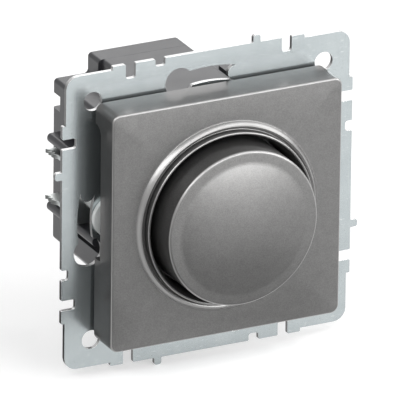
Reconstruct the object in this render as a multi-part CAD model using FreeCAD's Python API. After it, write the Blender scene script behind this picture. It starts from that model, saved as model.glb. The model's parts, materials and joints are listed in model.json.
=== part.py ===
import FreeCAD, Part
import math
import os

# Flush-mounted rotary dimmer switch, in millimetres.
# The origin is the centre of the support frame's back face, which lies on the wall.
# +Z is up, the knob points to -Y, and +X is to the right as seen from the front.

V = FreeCAD.Vector
ALONG_X = V(1, 0, 0)
ALONG_Y = V(0, 1, 0)
ALONG_Z = V(0, 0, 1)
CENTRE = V(0, 0, 0)

# How far a cutter runs past what it cuts, and how deep joined shapes sink into each other
past = 1.0
root = 0.5

# Support frame, a stamped steel sheet
frame_thickness = 1.0
frame_half = 35.5
frame_corner_setback = 0.85
frame_corner_radius = 3.0
side_half_length = 23.4
notch_width = 2.4
notch_round = 0.6
deep_notch_offset = 19.05
deep_notch_depth = 3.4
shallow_notch_offset = 11.85
shallow_notch_depth = 1.7
bump_offset = 11.7
bump_width = 1.75
bump_height = 1.7
corner_hole_offset = 28.2
corner_hole_diameter = 4.4

# Curved slots for the wall box screws, which stand 60 apart
slot_radius = 30.0
slot_width = 3.5
slot_start = -4.2
slot_end = 6.5
keyhole_diameter = 6.8
keyhole_offset = -7.2

# Housing behind the frame
housing_depth = 32.0
rear_cover_depth = 5.8
housing_wall = 1.4
housing_front_wall = 1.6
housing_back_wall = 1.6
housing_half_width = 22.0
left_shoulder = 20.8
right_shoulder = 19.5
housing_bottom = 25.5
bottom_margin = 1.1
tower_top = 25.6
tower_left = 12.9
tower_right = 8.6
tower_cover_overhang = 0.8
housing_corner_round = 1.0
rear_edge_round = 0.8
cover_lip_length = 1.5
cover_lip_wall = 0.9
lip_clearance = 0.1

# Pockets for the claws, and the guides that the claws slide between
pocket_play = 0.8
pocket_half_height = 12.4
guide_inner = 7.0
guide_thickness = 2.2
guide_projection = 6.5
guide_front = 3.0
guide_round = 1.0
latch_notch_low = 13.9
latch_notch_high = 17.5
latch_notch_depth = 3.8
latch_notch_width = 2.0
key_block_gap = 0.8
key_block_width = 5.0
key_block_depth = 13.0
key_block_drop = 0.3

# Pillars in the housing's corners
pillar_inset_x = 4.5
pillar_inset_z = 3.0
pillar_radius = 2.6

# Frame screws and rear cover screws
small_screw_core = 2.4
small_screw_head = 5.2
small_screw_head_height = 1.8
small_screw_round = 0.8
small_recess_length = 3.1
small_recess_width = 0.7
small_recess_depth = 1.1
frame_screw_reach = 8.0
cover_screw_reach = 5.2
screw_end_room = 1.0
screw_hole_play = 0.3

# Claws and claw screws
claw_screw_z = 0.5
claw_middle_z = 1.1
claw_screw_core = 2.9
claw_screw_length = 16.0
claw_screw_chamfer = 0.6
claw_head_diameter = 9.6
claw_head_height = 1.9
claw_head_rim = 1.3
claw_head_gap = 0.05
claw_head_knob_gap = 0.6
claw_head_play = 0.25
recess_length = 4.6
recess_width = 0.95
recess_depth = 1.3
claw_sheet = 1.2
claw_leg_thickness = 1.0
claw_guide_play = 1.0
claw_web_front = 9.0
claw_web_inward = 3.1
claw_web_outward = 3.8
claw_leg_inward = 0.8
claw_leg_outward = 2.5
claw_leg_end = 25.4
claw_corner_round = 1.0
claw_tooth = 0.9
claw_tooth_pitch = 1.5
claw_tooth_count = 3
claw_swing_play = 0.4

# Cover plate with its collar and well
cover_half = 28.0
cover_corner_radius = 1.9
cover_front = 10.6
cover_rear = 2.0
cover_wall = 1.6
cover_inner_round = 0.3
cover_face_thickness = 1.8
cover_edge_round = 0.45
well_radius = 18.9
well_wall = 1.3
well_floor_thickness = 1.8
lip_inset = 0.75
lip_height = 2.3
lip_thickness = 0.6
lip_round = 0.28
lip_taper = 0.05
groove_width = 0.15
groove_height = 0.3
bead_inner_half = 0.75
bead_outer_half = 0.9
bead_height = 1.0
bead_outer_sag = 0.22
bead_inner_sag = 0.16
claw_window_low = 8.3
claw_window_high = 23.5
claw_window_depth = 2.8
claw_window_round = 2.5
cover_rib = 1.0
cover_rib_height = 3.8
peg_diameter = 2.4
peg_offset = 15.0
peg_length = 1.8

# Rotary control, its bush and its shaft
bush_diameter = 10.0
bush_length = 7.0
bush_play = 0.15
control_half = 8.5
control_corner_round = 1.0
control_depth = 5.0
control_front_wall = 0.8
chamber_radius = 5.2
shaft_diameter = 6.0
shaft_play = 0.05
shaft_front = 16.8
shaft_rear = 4.0
shaft_flat_depth = 1.4
shaft_flat_length = 7.1
shaft_collar_radius = 4.7
shaft_collar_thickness = 1.0
shaft_collar_gap = 0.1
nut_flats = 14.0
nut_thickness = 2.8
nut_chamfer = 0.5
washer_diameter = 15.0
washer_thickness = 0.8
control_pin_diameter = 0.9
control_pin_pitch = 5.0
control_pin_drop = 7.6

# Push switch behind the control
switch_half = 6.5
switch_corner_round = 0.6
switch_depth = 6.0
plunger_diameter = 4.0
plunger_length = 5.0
plunger_play = 0.05
plunger_travel_room = 1.6

# Knob
knob_gap = 0.8
knob_front = 18.9
knob_rear = 4.6
knob_wall = 1.8
knob_front_wall = 2.0
knob_edge_round = 0.55
dome_inset = 2.7
annulus_rise = 0.15
dome_height = 2.0
hub_radius = 5.2
hub_rear = 8.8
hub_fit = 0.02
knob_ribs = 6
knob_rib = 1.0
knob_rib_depth = 3.6
spring_wire = 0.8
spring_place = 11.5
spring_gap_angle = 60.0
spring_play = 0.05

# Circuit board and the parts on it
board_thickness = 1.6
board_play = 0.6
board_floor_gap = 2.7
board_chamfer = 2.0
board_corner_round = 0.5
pin_play = 0.2
choke_x = -2.2
choke_z = 13.2
choke_radius = 9.8
choke_hole = 4.8
choke_height = 8.5
choke_round = 1.6
capacitor_edge_gap = 1.65
capacitor_z = -8.0
capacitor_width = 17.5
capacitor_height = 6.0
capacitor_depth = 11.5
capacitor_round = 0.6
fuse_wall_gap = 1.7
fuse_z = -1.2
fuse_length = 20.0
fuse_radius = 2.6
fuse_cap_length = 5.0
fuse_cap_wall = 0.2
fuse_height = 5.0
clip_width = 3.6
clip_sheet = 0.5
clip_foot_half = 1.5
clip_mouth_height = 1.5
heat_sink_play = 0.2
heat_sink_thickness = 1.5
heat_sink_half_height = 11.8
heat_sink_back_gap = 0.6
triac_z = -6.0
triac_width = 10.2
triac_body_thickness = 4.4
triac_body_length = 9.0
triac_tab_thickness = 1.3
triac_tab_length = 6.4
triac_stand = 2.0
triac_lead = 0.7
triac_lead_setback = 2.4
triac_lead_run = 1.2
triac_lead_overrun = 0.8
triac_lead_pitch = 2.54
triac_lead_step = 1.9
triac_screw_diameter = 3.0
triac_screw_head = 5.5
triac_screw_head_height = 1.8
resistor_radius = 0.9
resistor_length = 6.6
resistor_triac_gap = 2.4
resistor_fuse_gap = 0.3
resistor_pitch = 2.1
resistor_count = 3

# Terminals along the bottom
terminal_count = 3
terminal_pitch = 8.2
terminal_back_room = 8.0
terminal_block_side = 1.1
terminal_block_wall = 0.8
terminal_block_back_gap = 1.8
clamp_width = 6.0
clamp_wall_x = 0.9
clamp_wall_z = 1.2
clamp_depth = 7.2
clamp_top = 12.7
clamp_height = 7.8
clamp_play = 0.2
clamp_side_play = 0.1
bar_top = 16.4
bar_thickness = 1.0
bar_width = 3.8
bar_overrun = 1.4
terminal_screw_core = 2.5
terminal_thread_play = 0.05
terminal_head_diameter = 5.0
terminal_head_height = 1.4
terminal_head_play = 0.15
terminal_tip_gap = 0.1
terminal_slot_width = 0.9
terminal_slot_depth = 0.7
driver_hole_diameter = 4.0
wire_entry_diameter = 3.0

# Places that follow from the sizes above
frame_front = -frame_thickness
housing_seam = housing_depth - rear_cover_depth
inner_back = housing_depth - housing_back_wall
well_floor_front = frame_front - well_floor_thickness
washer_front = well_floor_front - washer_thickness
nut_front = washer_front - nut_thickness
control_rear = housing_front_wall + control_depth
board_front = control_rear + switch_depth
board_back = board_front + board_thickness
inner_floor = housing_bottom - housing_wall
knob_radius = well_radius - knob_gap
dome_radius = knob_radius - dome_inset
claw_screw_x = knob_radius + claw_head_knob_gap + claw_head_diameter / 2
pocket_floor = claw_screw_x - claw_web_inward - pocket_play
guide_reach = pocket_floor + guide_projection
pillar_x = housing_half_width - pillar_inset_x
pillar_z = right_shoulder - pillar_inset_z
board_half_width = pillar_x - pillar_radius - board_play
board_wing_half_width = pocket_floor - housing_wall - board_play
board_wing_half_height = pillar_z - pillar_radius - board_play
board_top = right_shoulder - housing_wall - board_play
board_bottom = inner_floor - board_floor_gap
heat_sink_outer = pocket_floor - housing_wall - lip_clearance - cover_lip_wall - heat_sink_play
clamp_bottom = clamp_top + clamp_height
bar_bottom = bar_top + bar_thickness
wire_entry_z = (bar_top + clamp_top + clamp_wall_z) / 2
terminal_block_half = (terminal_count - 1) / 2 * terminal_pitch + clamp_width / 2 + clamp_side_play \
    + terminal_block_side
terminal_block_top = clamp_top - clamp_play - terminal_block_wall
terminal_block_end = inner_back - terminal_block_back_gap
terminal_y = inner_back - terminal_back_room
housing_bottom_half = terminal_block_half + bottom_margin
fuse_x = fuse_length / 2 + fuse_wall_gap + housing_wall - pocket_floor
capacitor_x = capacitor_width / 2 + capacitor_edge_gap - board_wing_half_width
resistor_x = heat_sink_outer - heat_sink_thickness - triac_body_thickness - resistor_triac_gap \
    - resistor_radius
resistor_z = fuse_z - fuse_radius - clip_sheet - resistor_fuse_gap - resistor_radius
triac_y = board_back + triac_stand + triac_width / 2
triac_screw_z = triac_z + triac_body_length + triac_tab_length / 2


def box(x0, x1, y0, y1, z0, z1):
    return Part.makeBox(x1 - x0, y1 - y0, z1 - z0, V(x0, y0, z0))


def rod(radius, y0, y1, x=0.0, z=0.0):
    # A round bar along Y
    return Part.makeCylinder(radius, y1 - y0, V(x, y0, z), ALONG_Y)


def post(radius, z0, z1, x, y):
    # A round bar along Z
    return Part.makeCylinder(radius, z1 - z0, V(x, y, z0), ALONG_Z)


def joined(shapes):
    # One solid out of shapes that meet
    first, rest = shapes[0], shapes[1:]
    if not rest:
        return first
    return first.fuse(rest).removeSplitter()


def turned(shape, quarter_turns):
    # A copy turned about the knob's axis
    copy = shape.copy()
    copy.rotate(CENTRE, ALONG_Y, 90.0 * quarter_turns)
    return copy


def corner_path(points, radius):
    # Straight edges between the points (x, z), with an arc in each corner
    edges = []
    count = len(points)
    corners = []
    for index in range(count):
        before = V(points[index - 1][0], 0, points[index - 1][1])
        here = V(points[index][0], 0, points[index][1])
        after = V(points[(index + 1) % count][0], 0, points[(index + 1) % count][1])
        back = (before - here).normalize()
        forth = (after - here).normalize()
        half_angle = back.getAngle(forth) / 2
        reach = radius / math.tan(half_angle)
        middle = (back + forth).normalize()
        depth = radius / math.sin(half_angle) - radius
        corners.append((here + back * reach, here + middle * depth, here + forth * reach))
    for index in range(count):
        start, top, end = corners[index]
        next_start = corners[(index + 1) % count][0]
        edges.append(Part.Arc(start, top, end).toShape())
        edges.append(Part.makeLine(end, next_start))
    return Part.Wire(edges)


def outline_face(points, radius, y):
    # A flat face across Y with rounded corners
    if radius > 0:
        wire = corner_path(points, radius)
    else:
        closed = list(points) + [points[0]]
        wire = Part.makePolygon([V(x, 0, z) for x, z in closed])
    face = Part.Face(wire)
    face.translate(V(0, y, 0))
    return face


def slab(points, radius, y0, y1):
    # A plate with rounded corners, as thick as y0 to y1
    return outline_face(points, radius, y0).extrude(V(0, y1 - y0, 0))


def rectangle(x0, x1, z0, z1):
    return [(x0, z0), (x1, z0), (x1, z1), (x0, z1)]


def lathe(edges):
    # A full turn about the knob's axis of a closed profile drawn as radius and Y
    face = Part.Face(Part.Wire(edges))
    return face.revolve(CENTRE, ALONG_Y, 360)


def line(r0, y0, r1, y1):
    return Part.makeLine(V(r0, y0, 0), V(r1, y1, 0))


def bow(r0, y0, r1, y1, r2, y2):
    # An arc from the first point to the last, through the middle one
    return Part.Arc(V(r0, y0, 0), V(r1, y1, 0), V(r2, y2, 0)).toShape()


def sagged(r0, y0, r1, y1, sag):
    # An arc between two points; the sag is its rise off the straight line, backwards if positive
    run = math.hypot(r1 - r0, y1 - y0)
    middle_r = (r0 + r1) / 2 - sag * (y1 - y0) / run
    middle_y = (y0 + y1) / 2 + sag * (r1 - r0) / run
    return bow(r0, y0, middle_r, middle_y, r1, y1)


def dome(radius, rim, top):
    # The arc of a spherical cap from its rim to its top on the axis
    height = abs(rim - top)
    sphere = (radius ** 2 + height ** 2) / (2 * height)
    middle = radius / 2
    middle_y = top + sphere - math.sqrt(sphere ** 2 - middle ** 2)
    return bow(radius, rim, middle, middle_y, 0, top)


def arc_slot(width, start, end, y0, y1):
    # A slot of even width that curves about the centre, with round ends
    def at(radius, along):
        angle = along / slot_radius
        return V(radius * math.sin(angle), y0, radius * math.cos(angle))

    half = width / 2
    middle = (start + end) / 2
    outer = slot_radius + half
    inner = slot_radius - half
    edges = [
        Part.Arc(at(outer, start), at(outer, middle), at(outer, end)).toShape(),
        Part.Arc(at(outer, end), at(slot_radius, end + half), at(inner, end)).toShape(),
        Part.Arc(at(inner, end), at(inner, middle), at(inner, start)).toShape(),
        Part.Arc(at(inner, start), at(slot_radius, start - half), at(outer, start)).toShape(),
    ]
    return Part.Face(Part.Wire(edges)).extrude(V(0, y1 - y0, 0))


def four_corners(x, z):
    return [(x, z), (-x, z), (-x, -z), (x, -z)]


def support_frame():
    y0, y1 = frame_front, 0.0
    core = frame_half - frame_corner_setback
    plate = slab(rectangle(-core, core, -core, core), frame_corner_radius, y0, y1)
    raised = box(-side_half_length, side_half_length, y0, y1, core - root, frame_half)
    bump_left = bump_offset - bump_width / 2
    bump_top = frame_half + bump_height
    bump = slab(rectangle(bump_left, bump_left + bump_width, core, bump_top), notch_round, y0, y1)
    notches = []
    for offset, depth in (
        (-deep_notch_offset, deep_notch_depth),
        (deep_notch_offset, deep_notch_depth),
        (-shallow_notch_offset, shallow_notch_depth),
    ):
        left = offset - notch_width / 2
        low = frame_half - depth
        outline = rectangle(left, left + notch_width, low, frame_half + notch_width)
        notches.append(slab(outline, notch_round, y0 - past, y1 + past))
    slot = arc_slot(slot_width, slot_start, slot_end, y0 - past, y1 + past)
    keyhole_z = math.sqrt(slot_radius ** 2 - keyhole_offset ** 2)
    keyhole = rod(keyhole_diameter / 2, y0 - past, y1 + past, keyhole_offset, keyhole_z)
    bridge = arc_slot(slot_width, keyhole_offset, slot_start, y0 - past, y1 + past)
    sides = [turned(piece, turn) for turn in range(4) for piece in (raised, bump)]
    openings = [turned(cut, turn) for turn in range(4) for cut in notches + [slot, bridge, keyhole]]
    plate = joined([plate] + sides)
    for x, z in four_corners(corner_hole_offset, corner_hole_offset):
        openings.append(rod(corner_hole_diameter / 2, y0 - past, y1 + past, x, z))
    for x, z in four_corners(pillar_x, pillar_z):
        openings.append(rod(small_screw_core / 2 + screw_hole_play, y0 - past, y1 + past, x, z))
    for side in (-1, 1):
        hole = claw_screw_core / 2 + screw_hole_play
        openings.append(rod(hole, y0 - past, y1 + past, side * claw_screw_x, -side * claw_screw_z))
        openings.append(rod(peg_diameter / 2 + bush_play, y0 - past, y1 + past, 0, side * peg_offset))
    openings.append(rod(bush_diameter / 2 + bush_play, y0 - past, y1 + past))
    return plate.cut(openings)


def housing_outline(tower_overhang):
    # The housing as seen from the front: a body with a tower at the top left
    low = housing_bottom
    half = housing_half_width
    corner = low - (half - housing_bottom_half)
    return [
        (-tower_left - tower_overhang, tower_top),
        (tower_right, tower_top),
        (tower_right, right_shoulder),
        (half, right_shoulder),
        (half, -corner),
        (housing_bottom_half, -low),
        (-housing_bottom_half, -low),
        (-half, -corner),
        (-half, left_shoulder),
        (-tower_left - tower_overhang, left_shoulder),
    ]


def pocket_boxes(floor, half_height, y0, y1):
    # The space beside the housing, left and right, that the claws work in
    far = guide_reach + guide_thickness
    return [
        box(-far, -floor, y0, y1, -half_height, half_height),
        box(floor, far, y0, y1, -half_height, half_height),
    ]


def inner_space(shrink, y0, y1):
    # The room inside the housing, smaller all round by shrink
    wall = housing_wall + shrink
    room = outline_face(housing_outline(0), 0, y0).makeOffset2D(-wall, 2)
    room = room.extrude(V(0, y1 - y0, 0))
    return room.cut(pocket_boxes(pocket_floor - wall, pocket_half_height + wall, y0 - past, y1 + past))


def claw_guides():
    # Two ribs with rounded edges on each side, which a claw slides between
    ribs = []
    for side in (-1, 1):
        for way in (-1, 1):
            middle = -side * claw_middle_z + way * (guide_inner + guide_thickness / 2)
            low = middle - guide_thickness / 2
            foot = side * (pocket_floor - housing_wall / 2)
            tip = side * guide_reach
            outline = rectangle(min(foot, tip), max(foot, tip), low, low + guide_thickness)
            ribs.append(slab(outline, guide_round, guide_front, housing_seam))
    return ribs


def pillars(y0, y1, radius):
    return [rod(radius, y0, y1, x, z) for x, z in four_corners(pillar_x, pillar_z)]


def cover_screw_places():
    return [(-pillar_x, pillar_z), (pillar_x, -pillar_z)]


def terminal_places():
    first = -(terminal_count - 1) / 2 * terminal_pitch
    return [first + index * terminal_pitch for index in range(terminal_count)]


def housing():
    body = slab(housing_outline(0), housing_corner_round, 0, housing_seam)
    body = body.cut(pocket_boxes(pocket_floor, pocket_half_height, -past, housing_seam + past))
    body = body.cut(inner_space(0, housing_front_wall, housing_seam + past))
    key_left = tower_right + key_block_gap
    key_top = tower_top - key_block_drop
    key = box(key_left, key_left + key_block_width, 0, key_block_depth, right_shoulder - root, key_top)
    inner = housing_front_wall / 2
    body = joined([body, key] + claw_guides() + pillars(inner, housing_seam, pillar_radius))
    cuts = []
    for x, z in four_corners(pillar_x, pillar_z):
        cuts.append(rod(small_screw_core / 2, -past, frame_screw_reach + screw_end_room, x, z))
    for x, z in cover_screw_places():
        hole_end = housing_seam - cover_screw_reach - screw_end_room
        cuts.append(rod(small_screw_core / 2, hole_end, housing_seam + past, x, z))
    cuts.append(rod(bush_diameter / 2 + bush_play, -past, housing_front_wall + past))
    for side in (-1, 1):
        depth = peg_length - frame_thickness + bush_play
        cuts.append(rod(peg_diameter / 2 + bush_play, -past, depth, 0, side * peg_offset))
    for x in terminal_places():
        low, high = -housing_bottom - past, -inner_floor + past
        cuts.append(post(driver_hole_diameter / 2, low, high, x, terminal_y))
    return body.cut(cuts)


def rear_cover():
    shell = slab(housing_outline(tower_cover_overhang), housing_corner_round, housing_seam, housing_depth)
    back_edges = [edge for edge in shell.Edges if edge.BoundBox.YMin > housing_depth - 0.001]
    shell = shell.makeFillet(rear_edge_round, back_edges)
    lip_start = housing_seam - cover_lip_length
    lip = inner_space(lip_clearance, lip_start, housing_seam)
    shell = joined([shell, lip.cut(pillars(lip_start - past, housing_seam, pillar_radius + lip_clearance))])
    shell = shell.cut(inner_space(lip_clearance + cover_lip_wall, lip_start - past, inner_back))
    block_side = terminal_block_half + lip_clearance
    shell = shell.cut(box(-block_side, block_side, lip_start - past, terminal_block_end + lip_clearance,
                          -inner_floor, -terminal_block_top))
    bosses = [rod(pillar_radius, housing_seam, inner_back + housing_back_wall / 2, x, z)
              for x, z in cover_screw_places()]
    shell = joined([shell] + bosses)
    cuts = []
    for x, z in cover_screw_places():
        head = small_screw_head / 2 + screw_hole_play
        hole = small_screw_core / 2 + screw_hole_play
        cuts.append(rod(hole, housing_seam - past, housing_depth + past, x, z))
        cuts.append(rod(head, housing_depth - small_screw_head_height, housing_depth + past, x, z))
    for x in terminal_places():
        cuts.append(rod(wire_entry_diameter / 2, inner_back - past, housing_depth + past, x, -wire_entry_z))
    for side in (-1, 1):
        inner = side * (housing_half_width - latch_notch_width)
        outer = side * (housing_half_width + past)
        notch_start = housing_depth - latch_notch_depth
        cuts.append(box(min(inner, outer), max(inner, outer), notch_start, housing_depth + past,
                        latch_notch_low, latch_notch_high))
    return shell.cut(cuts)


def cross_recess(x, z, top, bottom, length, width):
    # The two crossed slots of a screw's head
    half, side = length / 2, width / 2
    return [box(x - half, x + half, top, bottom, z - side, z + side),
            box(x - side, x + side, top, bottom, z - half, z + half)]


def small_screw(seat, end, x, z):
    # A pan head screw along Y whose head rests at the seat and whose shank stops at the end
    way = 1 if end > seat else -1
    crown = seat - way * small_screw_head_height
    head = rod(small_screw_head / 2, min(seat, crown), max(seat, crown), x, z)
    rim = [edge for edge in head.Edges if max(abs(edge.BoundBox.YMin - crown), edge.BoundBox.YLength) < 0.001]
    head = head.makeFillet(small_screw_round, rim)
    shank = rod(small_screw_core / 2, min(seat, end), max(seat, end), x, z)
    floor = crown + way * small_recess_depth
    recess = cross_recess(x, z, min(crown, floor), max(crown, floor), small_recess_length, small_recess_width)
    return joined([head, shank]).cut(recess)


def frame_screws():
    return [small_screw(frame_front, frame_screw_reach, x, z) for x, z in four_corners(pillar_x, pillar_z)]


def rear_cover_screws():
    seat = housing_depth - small_screw_head_height
    end = housing_seam - cover_screw_reach
    return [small_screw(seat, end, x, z) for x, z in cover_screw_places()]


def claw_screw():
    # The left one: a domed head on the frame and a shank through it into the claw
    x, z = -claw_screw_x, claw_screw_z
    seat = frame_front - claw_head_gap
    top = seat - claw_head_height
    rim = seat - claw_head_rim
    end = seat + claw_screw_length
    radius = claw_head_diameter / 2
    head = lathe([
        line(0, seat, radius, seat),
        line(radius, seat, radius, rim),
        dome(radius, rim, top),
        line(0, top, 0, seat),
    ])
    head.translate(V(x, 0, z))
    shank = rod(claw_screw_core / 2, seat, end, x, z)
    tip = [edge for edge in shank.Edges if edge.BoundBox.YMin > end - 0.001]
    shank = shank.makeChamfer(claw_screw_chamfer, tip)
    recess = cross_recess(x, z, top - past, top + recess_depth, recess_length, recess_width)
    return joined([head, shank]).cut(recess)


def claw():
    # The left one: a web with the screw's hole, and two legs that end in teeth
    z = claw_middle_z
    half = guide_inner - claw_guide_play
    web_back = claw_web_front + claw_sheet
    leg_outer = claw_screw_x + claw_leg_outward
    leg_inner = claw_screw_x - claw_leg_inward
    outline = rectangle(-claw_screw_x - claw_web_outward, -claw_screw_x + claw_web_inward, z - half, z + half)
    pieces = [slab(outline, claw_corner_round, claw_web_front, web_back)]
    for way in (-1, 1):
        low = min(z + way * half, z + way * (half - claw_leg_thickness))
        high = low + claw_leg_thickness
        pieces.append(box(-leg_outer, -leg_inner, claw_web_front + claw_sheet / 2, claw_leg_end, low, high))
        for index in range(claw_tooth_count):
            start = claw_leg_end - (index + 1) * claw_tooth_pitch
            end = start + claw_tooth_pitch
            tooth = Part.makePolygon([
                V(-leg_outer, start, low),
                V(-leg_outer - claw_tooth, end, low),
                V(-leg_outer, end, low),
                V(-leg_outer, start, low),
            ])
            pieces.append(Part.Face(tooth).extrude(V(0, 0, claw_leg_thickness)))
    radius = claw_screw_core / 2 + claw_swing_play
    hole = rod(radius, claw_web_front - past, web_back + past, -claw_screw_x, claw_screw_z)
    return joined(pieces).cut(hole)


def collar():
    # The ring round the well's mouth: a round bead, a narrow groove, and a thin lip that stands higher
    face = -cover_front
    crest = face - bead_height
    groove = face - groove_height
    inside = face + cover_face_thickness
    lip_inner = well_radius + lip_inset
    lip_outer = lip_inner + lip_thickness
    groove_inner = lip_outer + lip_taper
    groove_outer = groove_inner + groove_width
    crest_radius = groove_outer + bead_inner_half
    bead_foot = crest_radius + bead_outer_half
    lip_shoulder = face - lip_height + lip_round
    return lathe([
        line(bead_foot, face, bead_foot, inside),
        line(bead_foot, inside, well_radius, inside),
        line(well_radius, inside, well_radius, face),
        line(well_radius, face, lip_inner, lip_shoulder),
        sagged(lip_inner, lip_shoulder, lip_outer, lip_shoulder, -lip_round),
        line(lip_outer, lip_shoulder, groove_inner, groove),
        line(groove_inner, groove, groove_outer, groove),
        sagged(groove_outer, groove, crest_radius, crest, -bead_inner_sag),
        sagged(crest_radius, crest, bead_foot, face, -bead_outer_sag),
    ])


def cover_plate():
    half = cover_half
    shell = slab(rectangle(-half, half, -half, half), cover_corner_radius, -cover_front, -cover_rear)
    front_edges = [edge for edge in shell.Edges if edge.BoundBox.YMax < -cover_front + 0.001]
    shell = shell.makeFillet(cover_edge_round, front_edges)
    inner = half - cover_wall
    inside = cover_face_thickness - cover_front
    room = slab(rectangle(-inner, inner, -inner, inner), cover_inner_round, inside, 0)
    reach = half - cover_wall / 2
    limit = slab(rectangle(-reach, reach, -reach, reach), 0, -cover_front, 0)
    ribs = []
    for turn in range(4):
        rib = box(-cover_rib / 2, cover_rib / 2, inside - root, inside + cover_rib_height,
                  well_radius + well_wall / 2, reach * math.sqrt(2))
        rib.rotate(CENTRE, ALONG_Y, 45 + 90 * turn)
        ribs.append(rib.common(limit))
    tube = rod(well_radius + well_wall, inside - root, frame_front)
    shell = joined([shell.cut(room), collar(), tube] + ribs)
    shell = shell.cut(rod(well_radius, -cover_front - lip_height - past, well_floor_front))
    pegs = [rod(peg_diameter / 2, frame_front - root, frame_front + peg_length, 0, side * peg_offset)
            for side in (-1, 1)]
    shell = joined([shell] + pegs)
    head = small_screw_head / 2 + screw_hole_play
    head_front = frame_front - small_screw_head_height - screw_hole_play
    head_rooms = [rod(head, head_front, 0, x, z) for x, z in four_corners(pillar_x, pillar_z)]
    claw_head = claw_head_diameter / 2 + claw_head_play
    claw_head_front = frame_front - claw_head_gap - claw_head_height - claw_head_play
    for side in (-1, 1):
        head_rooms.append(rod(claw_head, claw_head_front, 0, side * claw_screw_x, -side * claw_screw_z))
    bush_hole = rod(bush_diameter / 2 + bush_play, -cover_front, 0)
    return shell.cut(claw_windows() + head_rooms + [bush_hole])


def claw_windows():
    # Cut in the skirt's rear edge beside each claw screw, its upper front corner rounded
    front = -cover_rear - claw_window_depth
    radius = claw_window_round
    low, high = -claw_window_low, claw_window_high
    middle = radius * (1 - math.sqrt(0.5))
    edges = [
        Part.makeLine(V(0, past, low), V(0, front, low)),
        Part.makeLine(V(0, front, low), V(0, front, high - radius)),
        Part.Arc(V(0, front, high - radius), V(0, front + middle, high - middle),
                 V(0, front + radius, high)).toShape(),
        Part.makeLine(V(0, front + radius, high), V(0, past, high)),
        Part.makeLine(V(0, past, high), V(0, past, low)),
    ]
    left = Part.Face(Part.Wire(edges)).extrude(V(cover_wall + 2 * past, 0, 0))
    left.translate(V(-cover_half - past, 0, 0))
    return [left, turned(left, 2)]


def knob():
    radius = knob_radius
    front = -knob_front
    turn = knob_edge_round
    rise = front - annulus_rise
    apex = front - dome_height
    inner_front = front + knob_front_wall
    inner_radius = radius - knob_wall
    corner = turn * (1 - math.sqrt(0.5))
    shell = lathe([
        line(0, apex, 0, inner_front),
        line(0, inner_front, inner_radius, inner_front),
        line(inner_radius, inner_front, inner_radius, -knob_rear),
        line(inner_radius, -knob_rear, radius, -knob_rear),
        line(radius, -knob_rear, radius, front + turn),
        bow(radius, front + turn, radius - corner, front + corner, radius - turn, front),
        line(radius - turn, front, dome_radius, rise),
        dome(dome_radius, rise, apex),
    ])
    hub = rod(hub_radius, inner_front - root, -hub_rear)
    ribs = []
    for index in range(knob_ribs):
        rib = box(-knob_rib / 2, knob_rib / 2, inner_front - root, inner_front + knob_rib_depth,
                  hub_radius - root, radius - knob_wall / 2)
        rib.rotate(CENTRE, ALONG_Y, index * 360.0 / knob_ribs)
        ribs.append(rib)
    shell = joined([shell, hub] + ribs)
    flat_end = -shaft_front + shaft_flat_length
    bore_radius = shaft_diameter / 2 + hub_fit
    bore = shaft_section(bore_radius, -shaft_front - hub_fit, flat_end)
    mouth = rod(bore_radius, flat_end - hub_fit, -hub_rear + past)
    groove_half = spring_wire / 2 + spring_play
    groove = rod(hub_radius + past, -spring_place - groove_half, -spring_place + groove_half)
    groove = groove.cut(rod(hub_radius - spring_wire / 2, -spring_place - past, -spring_place + past))
    return shell.cut([bore, mouth, groove])


def shaft_section(radius, y0, y1):
    # A round bar with one flat, the shape of the shaft's end
    bar = rod(radius, y0, y1)
    flat = shaft_diameter / 2 - shaft_flat_depth + (radius - shaft_diameter / 2)
    return bar.cut(box(-radius, radius, y0 - past, y1 + past, flat, radius + past))


def knob_spring():
    # An open ring of round wire in the hub's groove
    middle = hub_radius + spring_play
    ring = Part.makeTorus(middle, spring_wire / 2, V(0, -spring_place, 0), ALONG_Y)
    gap = math.radians(spring_gap_angle / 2)
    reach = 2 * middle
    wedge = Part.makePolygon([
        V(0, 0, 0),
        V(reach * math.sin(gap), 0, reach * math.cos(gap)),
        V(-reach * math.sin(gap), 0, reach * math.cos(gap)),
        V(0, 0, 0),
    ])
    wedge = Part.Face(wedge).extrude(V(0, 4 * spring_wire, 0))
    wedge.translate(V(0, -spring_place - 2 * spring_wire, 0))
    return ring.cut(wedge)


def control_shaft():
    flat_end = -shaft_front + shaft_flat_length
    end = shaft_section(shaft_diameter / 2, -shaft_front, flat_end)
    bar = rod(shaft_diameter / 2, flat_end, shaft_rear)
    collar_front = housing_front_wall + control_front_wall + shaft_collar_gap
    ring = rod(shaft_collar_radius, collar_front, collar_front + shaft_collar_thickness)
    return joined([end, bar, ring])


def control_pin_places():
    return [(step * control_pin_pitch, -control_pin_drop) for step in (-1, 0, 1)]


def control_body():
    half = control_half
    body = slab(rectangle(-half, half, -half, half), control_corner_round, housing_front_wall, control_rear)
    bush = rod(bush_diameter / 2, -bush_length, housing_front_wall + control_front_wall / 2)
    pins = [rod(control_pin_diameter / 2, control_rear - root, board_back, x, z)
            for x, z in control_pin_places()]
    bore = rod(shaft_diameter / 2 + shaft_play, -bush_length - past, control_rear + past)
    chamber = rod(chamber_radius, housing_front_wall + control_front_wall, control_rear + past)
    return joined([body, bush] + pins).cut([bore, chamber])


def bush_washer():
    ring = rod(washer_diameter / 2, washer_front, well_floor_front)
    return ring.cut(rod(bush_diameter / 2 + bush_play, washer_front - past, well_floor_front + past))


def bush_nut():
    outer = nut_flats / math.sqrt(3)
    angles = [math.radians(60 * index) for index in range(6)]
    corners = [(outer * math.cos(angle), outer * math.sin(angle)) for angle in angles]
    nut = slab(corners, 0, nut_front, washer_front)
    cone = Part.makeCone(outer - nut_chamfer, outer + nut_thickness, nut_thickness + nut_chamfer,
                         V(0, nut_front, 0), ALONG_Y)
    return nut.common(cone).cut(rod(bush_diameter / 2 + shaft_play, nut_front - past, washer_front + past))


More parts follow.
